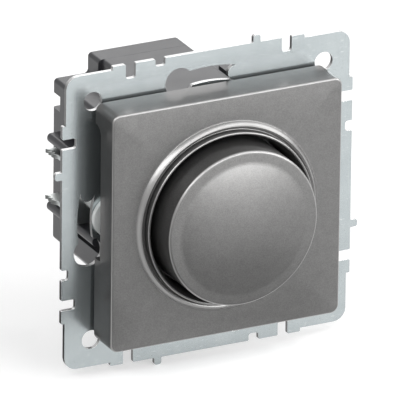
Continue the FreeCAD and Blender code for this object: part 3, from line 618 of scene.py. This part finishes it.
def lathe_mesh(name, profile, count, x=0.0, z=0.0):
    """A closed profile of (radius, y) points turned about a line along Y; points on the axis become poles."""
    work = bmesh.new()
    rows = []
    for radius, y in profile:
        if radius < 1e-7:
            rows.append([work.verts.new((x, y, z))])
        else:
            rows.append([work.verts.new((x + p.x, y, z + p.y)) for p in circle(radius, count)])
    for low, high in zip(rows, rows[1:] + rows[:1]):
        if len(low) == 1 and len(high) == 1:
            continue
        for index in range(count):
            corners = []
            for row, step in ((low, index - 1), (low, index), (high, index), (high, index - 1)):
                vert = row[0] if len(row) == 1 else row[step]
                if vert not in corners:
                    corners.append(vert)
            work.faces.new(corners)
    bmesh.ops.recalc_face_normals(work, faces=work.faces[:])
    return mesh_of(work, name)


def joined_mesh(name, meshes):
    """Several closed meshes as one."""
    work = bmesh.new()
    for mesh in meshes:
        work.from_mesh(mesh)
        bpy.data.meshes.remove(mesh)
    return mesh_of(work, name)


def without(mesh, cutter):
    """The mesh with the cutter's shape taken away."""
    body = linked("body", mesh)
    tool = linked("tool", cutter)
    cut = body.modifiers.new("cut", "BOOLEAN")
    cut.operation = "DIFFERENCE"
    cut.solver = "EXACT"
    cut.object = tool
    made = baked(body)
    bpy.data.objects.remove(tool)
    bpy.data.meshes.remove(cutter)
    return made


def dressed(node, material, body, edge, steps=2):
    """A node's own shape with its edges rounded."""
    work = bmesh.new()
    work.from_mesh(frame["nodes"][node].data)
    bmesh.ops.remove_doubles(work, verts=work.verts[:], dist=0.0005 * MM)
    bmesh.ops.dissolve_limit(work, angle_limit=math.radians(0.6), use_dissolve_boundaries=False,
                             verts=work.verts[:], edges=work.edges[:], delimit=set())
    carrier = linked(node + "_work", mesh_of(work, node + "_plain"))
    bevel = carrier.modifiers.new("edge", "BEVEL")
    bevel.width = edge
    bevel.segments = steps
    bevel.limit_method = "ANGLE"
    bevel.angle_limit = math.radians(35.0)
    bevel.use_clamp_overlap = True
    bevel.miter_outer = "MITER_ARC"
    mesh = baked(carrier)
    mesh.name = node + "_dressed"
    tidy(mesh, 40.0)
    made = piece(node + "_shell", mesh, material, body, (node,))
    soften = made.modifiers.new("normals", "WEIGHTED_NORMAL")
    soften.keep_sharp = True


class Tree:
    """A Geometry Nodes tree with named inputs, which ends in real geometry with its material."""

    def __init__(self, name, inputs):
        self.group = bpy.data.node_groups.new(name, "GeometryNodeTree")
        ends = self.group.interface
        self.ids = {}
        for label, kind in {"Geometry": "Geometry", **inputs, "Material": "Material"}.items():
            made = ends.new_socket(name=label, in_out="INPUT", socket_type="NodeSocket" + kind)
            self.ids[label] = made.identifier
        ends.new_socket(name="Geometry", in_out="OUTPUT", socket_type="NodeSocketGeometry")
        self.inputs = self.group.nodes.new("NodeGroupInput").outputs

    def node(self, kind, settings, sockets):
        """A node's first output, after its settings and the values or links of its sockets."""
        made = self.group.nodes.new(kind)
        for name, setting in settings.items():
            setattr(made, name, setting)
        for name, item in sockets.items():
            if isinstance(item, bpy.types.NodeSocket):
                self.group.links.new(item, made.inputs[name])
            else:
                made.inputs[name].default_value = item
        return made.outputs[0]

    def finish(self, geometry):
        """Instances made real, and the material on them, as the tree's result."""
        solid = self.node("GeometryNodeRealizeInstances", {}, {0: geometry})
        coat = self.node("GeometryNodeSetMaterial", {}, {0: solid, "Material": self.inputs["Material"]})
        leave = self.group.nodes.new("NodeGroupOutput")
        self.group.links.new(coat, leave.inputs[0])
        return self

    def grown(self, material, **values):
        """The tree's plain mesh, for the values of its inputs."""
        carrier = linked("tree_work", bpy.data.meshes.new("empty"))
        grow = carrier.modifiers.new("grow", "NODES")
        grow.node_group = self.group
        grow[self.ids["Material"]] = material
        for name, value in values.items():
            grow[self.ids[name]] = value
        return baked(carrier)


def rib_tree():
    """Equal blocks round the knob's axis; Low and High are the first one's corners before its Turn."""
    tree = Tree("ribs", {"Count": "Int", "Turn": "Float", "Low": "Vector", "High": "Vector"})
    low, high = tree.inputs["Low"], tree.inputs["High"]
    count, start = tree.inputs["Count"], tree.inputs["Turn"]
    size = tree.node("ShaderNodeVectorMath", {"operation": "SUBTRACT"}, {0: high, 1: low})
    total = tree.node("ShaderNodeVectorMath", {"operation": "ADD"}, {0: low, 1: high})
    middle = tree.node("ShaderNodeVectorMath", {"operation": "SCALE"}, {0: total, "Scale": 0.5})
    block = tree.node("GeometryNodeMeshCube", {}, {"Size": size})
    first = tree.node("GeometryNodeTransform", {}, {"Geometry": block, "Translation": middle})
    spots = tree.node("GeometryNodePoints", {}, {"Count": count})
    index = tree.node("GeometryNodeInputIndex", {}, {})
    step = tree.node("ShaderNodeMath", {"operation": "DIVIDE"}, {0: 2 * math.pi, 1: count})
    turn = tree.node("ShaderNodeMath", {"operation": "MULTIPLY_ADD"}, {0: index, 1: step, 2: start})
    spin = tree.node("ShaderNodeCombineXYZ", {}, {"Y": turn})
    ribs = tree.node("GeometryNodeInstanceOnPoints", {},
                     {"Points": spots, "Instance": first, "Rotation": spin})
    return tree.finish(ribs)


def thread_tree():
    """A thread: a helix along Z swept with a pointed ridge."""
    tree = Tree("thread", {"Radius": "Float", "Pitch": "Float", "Turns": "Float", "Depth": "Float"})
    radius, depth, turns = tree.inputs["Radius"], tree.inputs["Depth"], tree.inputs["Turns"]
    height = tree.node("ShaderNodeMath", {"operation": "MULTIPLY"}, {0: tree.inputs["Pitch"], 1: turns})
    spiral = tree.node("GeometryNodeCurveSpiral", {}, {"Resolution": 28, "Rotations": turns, "Height": height,
                                                       "Start Radius": radius, "End Radius": radius})
    ridge = tree.node("GeometryNodeCurvePrimitiveCircle", {}, {"Resolution": 4, "Radius": depth})
    sweep = tree.node("GeometryNodeCurveToMesh", {},
                      {"Curve": spiral, "Profile Curve": ridge, "Fill Caps": True})
    return tree.finish(sweep)


RIBS = rib_tree()
THREAD = thread_tree()


# Support frame: one stamped sheet, the same outline on its four sides
def turned_quarter(point, turns):
    """A place turned clockwise by quarters, as seen from the knob."""
    x, z = point
    for _ in range(turns):
        x, z = z, -x
    return Vector((x, z))


def frame_side():
    """The top side's outline from left to right, as (x, z, corner radius)."""
    half = frame_half
    small = notch_round
    side = [(-frame_core, frame_core, frame_corner_radius), (-side_half_length, frame_core, 0.0)]
    side.append((-side_half_length, half, small / 2))

    def notch(middle, depth):
        left, right, low = middle - notch_width / 2, middle + notch_width / 2, half - depth
        return [(left, half, small / 2), (left, low, small), (right, low, small), (right, half, small / 2)]

    side += notch(-deep_notch[0], deep_notch[1])
    side += notch(-shallow_notch[0], shallow_notch[1])
    left, right = bump_offset - bump_width / 2, bump_offset + bump_width / 2
    top = half + bump_height
    side += [(left, half, small / 4), (left, top, small), (right, top, small), (right, half, small / 4)]
    side += notch(deep_notch[0], deep_notch[1])
    side += [(side_half_length, half, small / 2), (side_half_length, frame_core, 0.0)]
    return side


def screw_slot():
    """The curved slot that ends in a round keyhole, as (x, z) points."""
    hole = Vector((-keyhole_offset, math.sqrt(slot_radius ** 2 - keyhole_offset ** 2)))

    def at(radius, along):
        angle = along / slot_radius
        return Vector((radius * math.sin(angle), radius * math.cos(angle)))

    def clear_of_hole(radius):
        """How far along an edge of the slot leaves the keyhole."""
        along = -keyhole_offset
        while (at(radius, along) - hole).length < keyhole_radius:
            along += 0.01 * MM
        return along

    outer, inner = slot_radius + slot_half_width, slot_radius - slot_half_width
    near_outer, near_inner, far = clear_of_hole(outer), clear_of_hole(inner), slot_end
    steps = 14
    path = [at(outer, near_outer + (far - near_outer) * k / steps) for k in range(steps + 1)]
    end = at(slot_radius, far)
    across = at(outer, far) - end
    path += [end + Matrix.Rotation(math.pi * k / 8, 2) @ across for k in range(1, 8)]
    path += [at(inner, far + (near_inner - far) * k / steps) for k in range(steps + 1)]
    first, last = at(inner, near_inner) - hole, at(outer, near_outer) - hole
    start = math.atan2(first.x, first.y)
    turn = math.atan2(last.x, last.y) - start
    if turn < 0:
        turn += 2 * math.pi
    steps = 40
    for k in range(1, steps):
        angle = start + turn * k / steps
        path.append(hole + Vector((math.sin(angle), math.cos(angle))) * keyhole_radius)
    return path


def support_frame():
    """The stamped sheet with its outline and all its holes."""
    corners = []
    for turns in range(4):
        for x, z, radius in frame_side():
            spot = turned_quarter((x, z), turns)
            corners.append((spot.x, spot.y, radius))
    outer = rounded(corners, 5)
    holes = []
    for turns in range(4):
        holes.append([turned_quarter(p, turns) for p in screw_slot()])
        corner = turned_quarter((corner_hole_offset, corner_hole_offset), turns)
        holes.append(circle(corner_hole_radius, 40, corner.x, corner.y))
    for side in (-1, 1):
        holes.append(circle(claw_screw_hole, 32, side * claw_screw_x, -side * claw_screw_z))
        holes.append(circle(peg_hole, 24, 0.0, side * peg_offset))
        for way in (-1, 1):
            holes.append(circle(housing_screw_hole, 24, side * housing_screw_x, way * housing_screw_z))
    holes.append(circle(bush_hole, 48))
    mesh = plate_mesh("support_frame_sheet", outer, holes, -frame_thickness, 0.0, stamped_edge)
    even_normals(mesh)
    piece("support_frame_sheet", mesh, ZINC, "root", ("support_frame",))


# Cover plate: rings that run from the well over the collar to the skirt and back inside
def square_points(half, corner, angles):
    """A rounded square's points at the given polar angles."""
    points = []
    inner = half - corner
    for angle in angles:
        way = Vector((math.sin(angle), math.cos(angle)))
        spot = way * (half / max(abs(way.x), abs(way.y)))
        if abs(spot.x) > inner and abs(spot.y) > inner:
            centre = Vector((math.copysign(inner, spot.x), math.copysign(inner, spot.y)))
            along = way.dot(centre)
            spot = way * (along + math.sqrt(along ** 2 - centre.length_squared + corner ** 2))
        points.append(spot)
    return points


def square_angles():
    """Polar angles that follow the rounded square's corners closely and its sides evenly."""
    outline = rounded([(-cover_half, cover_half, cover_corner), (cover_half, cover_half, cover_corner),
                       (cover_half, -cover_half, cover_corner), (-cover_half, -cover_half, cover_corner)], 10)
    angles = []
    steps = 40
    for index, here in enumerate(outline):
        after = outline[(index + 1) % len(outline)]
        count = steps if (after - here).length > cover_half else 1
        for step in range(count):
            spot = here.lerp(after, step / count)
            angles.append(math.atan2(spot.x, spot.y))
    return angles


def collar_profile():
    """The front side of the collar from the well's lip outwards, as (radius, y)."""
    face = cover_front
    shoulder = face - lip_height + lip_round
    groove = face - groove_height
    crest_radius, crest = bead_crest[0], face - bead_crest[1]
    foot_radius, foot = bead_foot - foot_inset, face - foot_rise
    profile = arc(lip_edges[0], shoulder, lip_edges[1], shoulder, -lip_round, 10)
    profile += arc(groove_edges[0] - groove_round / 2, groove - groove_round,
                   groove_edges[0] + groove_round, groove, groove_sag, 3)
    profile += arc(groove_edges[1], groove - groove_round, crest_radius, crest, -bead_sags[0], 10)[:-1]
    profile += arc(crest_radius, crest, foot_radius, foot, -bead_sags[1], 12)
    profile += arc(foot_radius, foot, bead_foot + foot_outset, face, foot_sag, 5)[1:]
    profile.append(Vector((bead_foot + foot_border, face)))
    return profile


def cover_rings():
    """The cover's rings, each with a point at every angle."""
    angles = square_angles()

    def round_ring(radius, y):
        return [(radius * math.sin(a), y, radius * math.cos(a)) for a in angles]

    def square_ring(half, corner, y):
        return [(p.x, y, p.y) for p in square_points(half, corner, angles)]

    fillet = arc(well_radius - well_fillet, well_floor, well_radius, well_floor - well_fillet,
                 well_fillet_sag, 4)
    rings = [round_ring(bush_hole, well_rear), round_ring(bush_hole, well_floor)]
    rings.append(round_ring(well_middle, well_floor))
    rings += [round_ring(p.x, p.y) for p in fillet]
    rings.append(round_ring(well_radius, cover_front))
    rings += [round_ring(p.x, p.y) for p in collar_profile()]
    steps = 6
    for step in range(steps + 1):
        turn = math.radians(90.0 * step / steps)
        inset = cover_edge * (1 - math.sin(turn))
        y = cover_front + cover_edge * (1 - math.cos(turn))
        rings.append(square_ring(cover_half - inset, cover_corner - inset * corner_shrink, y))
    inner = cover_half - cover_wall
    rings.append(square_ring(cover_half, cover_corner, cover_rear - skirt_edge))
    rings.append(square_ring(cover_half - skirt_edge, cover_corner, cover_rear))
    rings.append(square_ring(inner + skirt_edge, inside_corner + skirt_edge, cover_rear))
    rings.append(square_ring(inner, inside_corner, cover_rear - skirt_edge))
    rings.append(square_ring(inner, inside_corner, cover_inside))
    rings.append(round_ring(well_outer, cover_inside))
    rings.append(round_ring(well_outer, well_rear))
    return rings


def window_cutter(side):
    """The opening in the cover's skirt beside a claw screw."""
    outline = rounded([(window_rear, window_low, 0.0), (window_front, window_low, window_corner),
                       (window_front, window_high, window_round), (window_rear, window_high, 0.0)], 8)
    outside, inside = side * (cover_half + MM), side * (cover_half - cover_wall - MM)
    return prism_mesh("window", [(outside, p.x, -side * p.y) for p in outline],
                      [(inside, p.x, -side * p.y) for p in outline])


def head_room_cutter(side):
    """Room in the cover for the head of a claw screw."""
    radius = claw_head_radius + claw_head_play
    front = claw_screw_seat - claw_head_height - claw_head_play
    return lathe_mesh("head_room", [(0, front), (radius, front), (radius, 0), (0, 0)], 96,
                      side * claw_screw_x, -side * claw_screw_z)


def cover_pegs():
    """The two pegs that place the cover on the support frame."""
    profile = [(0, peg_root), (peg_radius, peg_root), (peg_radius, peg_end - peg_chamfer),
               (peg_radius - peg_chamfer, peg_end), (0, peg_end)]
    return [lathe_mesh("peg", profile, 24, 0.0, side * peg_offset) for side in (-1, 1)]


def cover_plate():
    """The cover's shell with its windows, room for the screw heads, pegs and ribs."""
    mesh = loft_mesh("cover_shell", cover_rings())
    for side in (-1, 1):
        mesh = without(mesh, window_cutter(side))
        mesh = without(mesh, head_room_cutter(side))
    ribs = RIBS.grown(LACQUER, Count=4, Turn=math.radians(45.0),
                      Low=(-cover_rib_width / 2, cover_inside - cover_rib_sunk, cover_rib_start),
                      High=(cover_rib_width / 2, cover_inside + cover_rib_depth, cover_rib_end))
    mesh = joined_mesh("cover_shell", [mesh] + cover_pegs() + [ribs])
    tidy(mesh, 28.0)
    piece("cover_shell", mesh, LACQUER, "root", ("cover_plate",))


# Knob: a turned shell, a hub with the shaft's flat, and ribs between them
def dome(radius, rim, top, steps):
    """Points of a round cap from just beside its top to its rim, as (radius, y)."""
    height = rim - top
    sphere = (radius ** 2 + height ** 2) / (2 * height)
    points = []
    for step in range(1, steps + 1):
        away = radius * step / steps
        points.append(Vector((away, top + sphere - math.sqrt(sphere ** 2 - away ** 2))))
    return points


def knob_profile():
    """The shell's outline from the dome's top over the rim and back inside, as (radius, y)."""
    profile = [Vector((0, dome_top))] + dome(dome_radius, dome_rim, dome_top, 26)
    rim = knob_radius - knob_edge
    steps = 5
    for step in range(1, steps):
        share = step / steps
        profile.append(Vector((dome_radius + (rim - dome_radius) * share,
                               dome_rim + (knob_front - dome_rim) * share)))
    steps = 6
    for step in range(steps + 1):
        angle = math.radians(90.0 * step / steps)
        profile.append(Vector((rim + knob_edge * math.sin(angle),
                               knob_front + knob_edge * (1 - math.cos(angle)))))
    inner = knob_radius - knob_wall
    soft = knob_rear_edge
    profile += [Vector((knob_radius, knob_rear - soft)), Vector((knob_radius - soft, knob_rear)),
                Vector((inner + soft, knob_rear)), Vector((inner, knob_rear - soft)),
                Vector((inner, knob_inside)), Vector((0, knob_inside))]
    return profile


def knob_hub():
    """The hub, whose hole follows the shaft and its flat."""
    bore = shaft_radius + hub_fit
    half = math.acos((shaft_flat + hub_fit) / bore)
    hole = []
    steps = 40
    for step in range(steps + 1):
        angle = half + (2 * math.pi - 2 * half) * step / steps
        hole.append(Vector((bore * math.sin(angle), bore * math.cos(angle))))
    return plate_mesh("hub", circle(hub_radius, 64), [hole], knob_inside - hub_sunk, hub_rear, hub_edge)


def knob():
    """The knob's shell, hub and ribs as one piece."""
    shell = lathe_mesh("knob_cap", knob_profile(), 256)
    inner = knob_radius - knob_wall
    ribs = RIBS.grown(LACQUER, Count=knob_rib_count, Turn=0.0,
                      Low=(-knob_rib_width / 2, knob_inside - knob_rib_sunk, hub_radius - knob_rib_overlap),
                      High=(knob_rib_width / 2, knob_rib_rear, inner + knob_rib_overlap))
    mesh = joined_mesh("knob_cap", [shell, knob_hub(), ribs])
    tidy(mesh, 28.0)
    piece("knob_cap", mesh, LACQUER, "knob", ("knob",))


# Claw screws: a turned head with a crossed recess, a shank, and a thread wound round it
def cross_cutters(x, z, y0, y1):
    """Two wedges that cross and narrow from the first place along Y to the second."""
    arms = []
    for long_x in (True, False):
        ends = []
        for y, share in ((y0, 1.0), (y1, cross_taper)):
            a, b = cross_length / 2 * share, cross_width / 2
            half_x, half_z = (a, b) if long_x else (b, a)
            ends.append([(x + sx * half_x, y, z + sz * half_z) for sx, sz in SQUARE])
        arms.append(prism_mesh("arm", *ends))
    return arms


def claw_screw_head(x, z):
    """A domed head with its crossed recess."""
    seat, radius, soft = claw_screw_seat, claw_head_radius, claw_head_round
    top, rim = seat - claw_head_height, seat - claw_head_rim
    profile = [Vector((0.0, top))] + dome(radius, rim, top, 10)
    profile += [(radius, rim + soft), (radius, seat - soft), (radius - soft, seat), (0.0, seat)]
    head = lathe_mesh("head", profile, 72, x, z)
    for arm in cross_cutters(x, z, top - cross_above, top + cross_depth):
        head = without(head, arm)
    return head


def claw_screw(side):
    """A claw screw in two pieces: what is turned, and its thread."""
    name = "claw_screw_left" if side < 0 else "claw_screw_right"
    x, z = side * claw_screw_x, -side * claw_screw_z
    start, end, core = claw_screw_seat - claw_shank_sunk, claw_shank_end, claw_shank_radius
    shank = lathe_mesh("shank", [(0, start), (core, start), (core, end - claw_shank_tip),
                                 (core - claw_shank_tip, end), (0, end)], 40, x, z)
    mesh = joined_mesh(name + "_turned", [claw_screw_head(x, z), shank])
    tidy(mesh, 30.0)
    piece(name + "_turned", mesh, SATIN, name, (name,))
    turns = (end - claw_shank_tip - claw_thread_start) / claw_thread_pitch
    ridge = THREAD.grown(SATIN, Radius=core - claw_thread_sunk, Pitch=claw_thread_pitch, Turns=turns,
                         Depth=claw_thread_depth)
    along = UP.rotation_difference(Vector((0, 1, 0))).to_matrix().to_4x4()
    ridge.transform(Matrix.Translation((x, claw_thread_start, z)) @ along)
    tidy(ridge, 30.0)
    piece(name + "_thread", ridge, SATIN, name)


def plain_nodes():
    """Materials for the solids that keep their own mesh."""
    looks = {
        "control_body": DARK, "bush_washer": BRIGHT, "push_switch": DARK,
        "frame_screws": BRIGHT, "rear_cover_screws": BRIGHT, "circuit_board": BOARD, "choke": CORE,
        "capacitor": CASE, "fuse": FUSE, "fuse_clips": TINNED, "heat_sink": SINK, "triac": DARK,
        "triac_screw": BRIGHT, "resistors": RESISTOR, "terminal_block": BLOCK, "terminal_bars": BRASS,
        "switch_plunger": PALE, "knob_spring": SPRING, "control_shaft": PALE, "bush_nut": BRASS,
        "terminal_screw_1": BRIGHT, "terminal_screw_2": BRIGHT, "terminal_screw_3": BRIGHT,
        "terminal_clamp_1": BRASS, "terminal_clamp_2": BRASS, "terminal_clamp_3": BRASS,
    }
    for node, material in looks.items():
        mesh = frame["nodes"][node].data
        mesh.materials.clear()
        mesh.materials.append(material)


support_frame()
cover_plate()
knob()
dressed("housing", HOUSING, "root", 0.22 * MM, 3)
dressed("rear_cover", HOUSING, "root", 0.18 * MM)
dressed("claw_left", CLAW, "claw_left", 0.1 * MM)
dressed("claw_right", CLAW, "claw_right", 0.1 * MM)
claw_screw(-1)
claw_screw(1)
plain_nodes()


# Floor, light and camera
floor_level = cad_low.z
floor_reach = 6.0
floor_grain = 40 * MM
floor_colour = 0.62
white_lift = 0.5
world_white = 1.0
world_fill = 0.06

# Cards on the floor: name, first and last azimuth, near and far edge, grey
cards = (("front_card", -52.0, -10.0, 0.04, 0.7, 0.11),
         ("back_card", -136.0, -84.0, 0.04, 0.7, 0.11),
         ("near_card", -5.0, 50.0, 0.032, 0.072, 0.56))

# Soft boxes: name, azimuth, elevation, distance, width, height, brightness of the face
soft_boxes = (("front_box", 27.0, 10.0, 1.5, 1.45, 0.6, 8.8),
              ("over_box", 28.0, 54.0, 1.2, 1.5, 0.4, 3.4),
              ("left_box", -56.0, 40.0, 1.2, 1.15, 0.45, 5.5),
              ("rim_box", 150.0, 32.0, 1.0, 0.9, 0.5, 1.6),
              ("right_box", 84.0, 27.0, 1.2, 0.9, 0.6, 3.2))


def flat_sheet(name, outline, material):
    """One flat face of the studio."""
    mesh = bpy.data.meshes.new(name)
    mesh.from_pydata(outline, [], [tuple(range(len(outline)))])
    mesh.materials.append(material)
    return linked(name, mesh)


def floor():
    """A pale floor that shows white to the camera and in reflections."""
    paint = Paint("pale_floor")
    fine = paint.noise(floor_grain, 3.0)
    colour = paint.blend(fine, tone(floor_colour - 0.005), tone(floor_colour + 0.005))
    material = paint.finish(Base_Color=colour, Roughness=0.8, Emission_Strength=1.0,
                            Emission_Color=paint.blend(paint.seen(), tone(0.0), tone(white_lift)))
    outline = [(x * floor_reach, y * floor_reach, floor_level) for x, y in SQUARE]
    made = flat_sheet("floor", outline, material)


def card(name, first, last, near, far, grey):
    """A dull card on the floor between two azimuths, that only reflections see."""
    paint = Paint(name)
    fine = paint.noise(floor_grain, 3.0)
    material = paint.finish(Base_Color=paint.blend(fine, tone(grey - 0.01), tone(grey + 0.01)), Roughness=0.9)
    bulge = ((first + last) / 2, far * 1.14)
    outline = []
    for azimuth, reach in ((last, near), (last, far), bulge, (first, far), (first, near)):
        angle = math.radians(azimuth)
        outline.append((reach * math.sin(angle), -reach * math.cos(angle), floor_level + MM))
    made = flat_sheet(name, outline, material)
    made.visible_camera = False
    made.visible_diffuse = False
    made.visible_shadow = False


def world():
    """White to the camera and in reflections, and a faint fill for all other rays."""
    made = bpy.data.worlds.new("studio")
    bpy.context.scene.world = made
    made.use_nodes = True
    sky = Shading(made.node_tree)
    level = world_fill + (world_white - world_fill) * sky.seen()
    sky.end("ShaderNodeOutputWorld", sky.node("ShaderNodeBackground", {}, {"Strength": level}))


def outward(azimuth, elevation):
    """The way from the object's middle to a place at these angles, in degrees."""
    a, e = math.radians(azimuth), math.radians(elevation)
    return Vector((math.sin(a) * math.cos(e), -math.cos(a) * math.cos(e), math.sin(e)))


def soft_box(name, azimuth, elevation, distance, width, height, brightness):
    """A soft box that looks at the object's middle."""
    data = bpy.data.lights.new(name, "AREA")
    data.shape = "RECTANGLE"
    data.size = width
    data.size_y = height
    data.energy = brightness * math.pi * width * height
    made = linked(name, data)
    back = outward(azimuth, elevation)
    made.location = back * distance
    made.rotation_mode = "QUATERNION"
    made.rotation_quaternion = back.to_track_quat("Z", "Y")


def camera():
    """The photograph's view of the object."""
    back = outward(view_azimuth, view_elevation)
    azimuth, roll = math.radians(view_azimuth), math.radians(view_roll)
    level = Vector((math.cos(azimuth), math.sin(azimuth), 0))
    above = back.cross(level)
    right = level * math.cos(roll) + above * math.sin(roll)
    up = above * math.cos(roll) - level * math.sin(roll)
    data = bpy.data.cameras.new("camera")
    data.lens = view_lens
    data.sensor_width = 36.0
    data.clip_start = 0.1
    data.clip_end = 20.0
    made = linked("camera", data)
    place = right * view_right + up * view_up + back * view_distance
    made.matrix_world = Matrix.Translation(place) @ Matrix((right, up, back)).transposed().to_4x4()
    bpy.context.scene.camera = made


floor()
for numbers in cards:
    card(*numbers)
world()
for numbers in soft_boxes:
    soft_box(*numbers)
camera()
bpy.context.scene.view_settings.view_transform = "Standard"
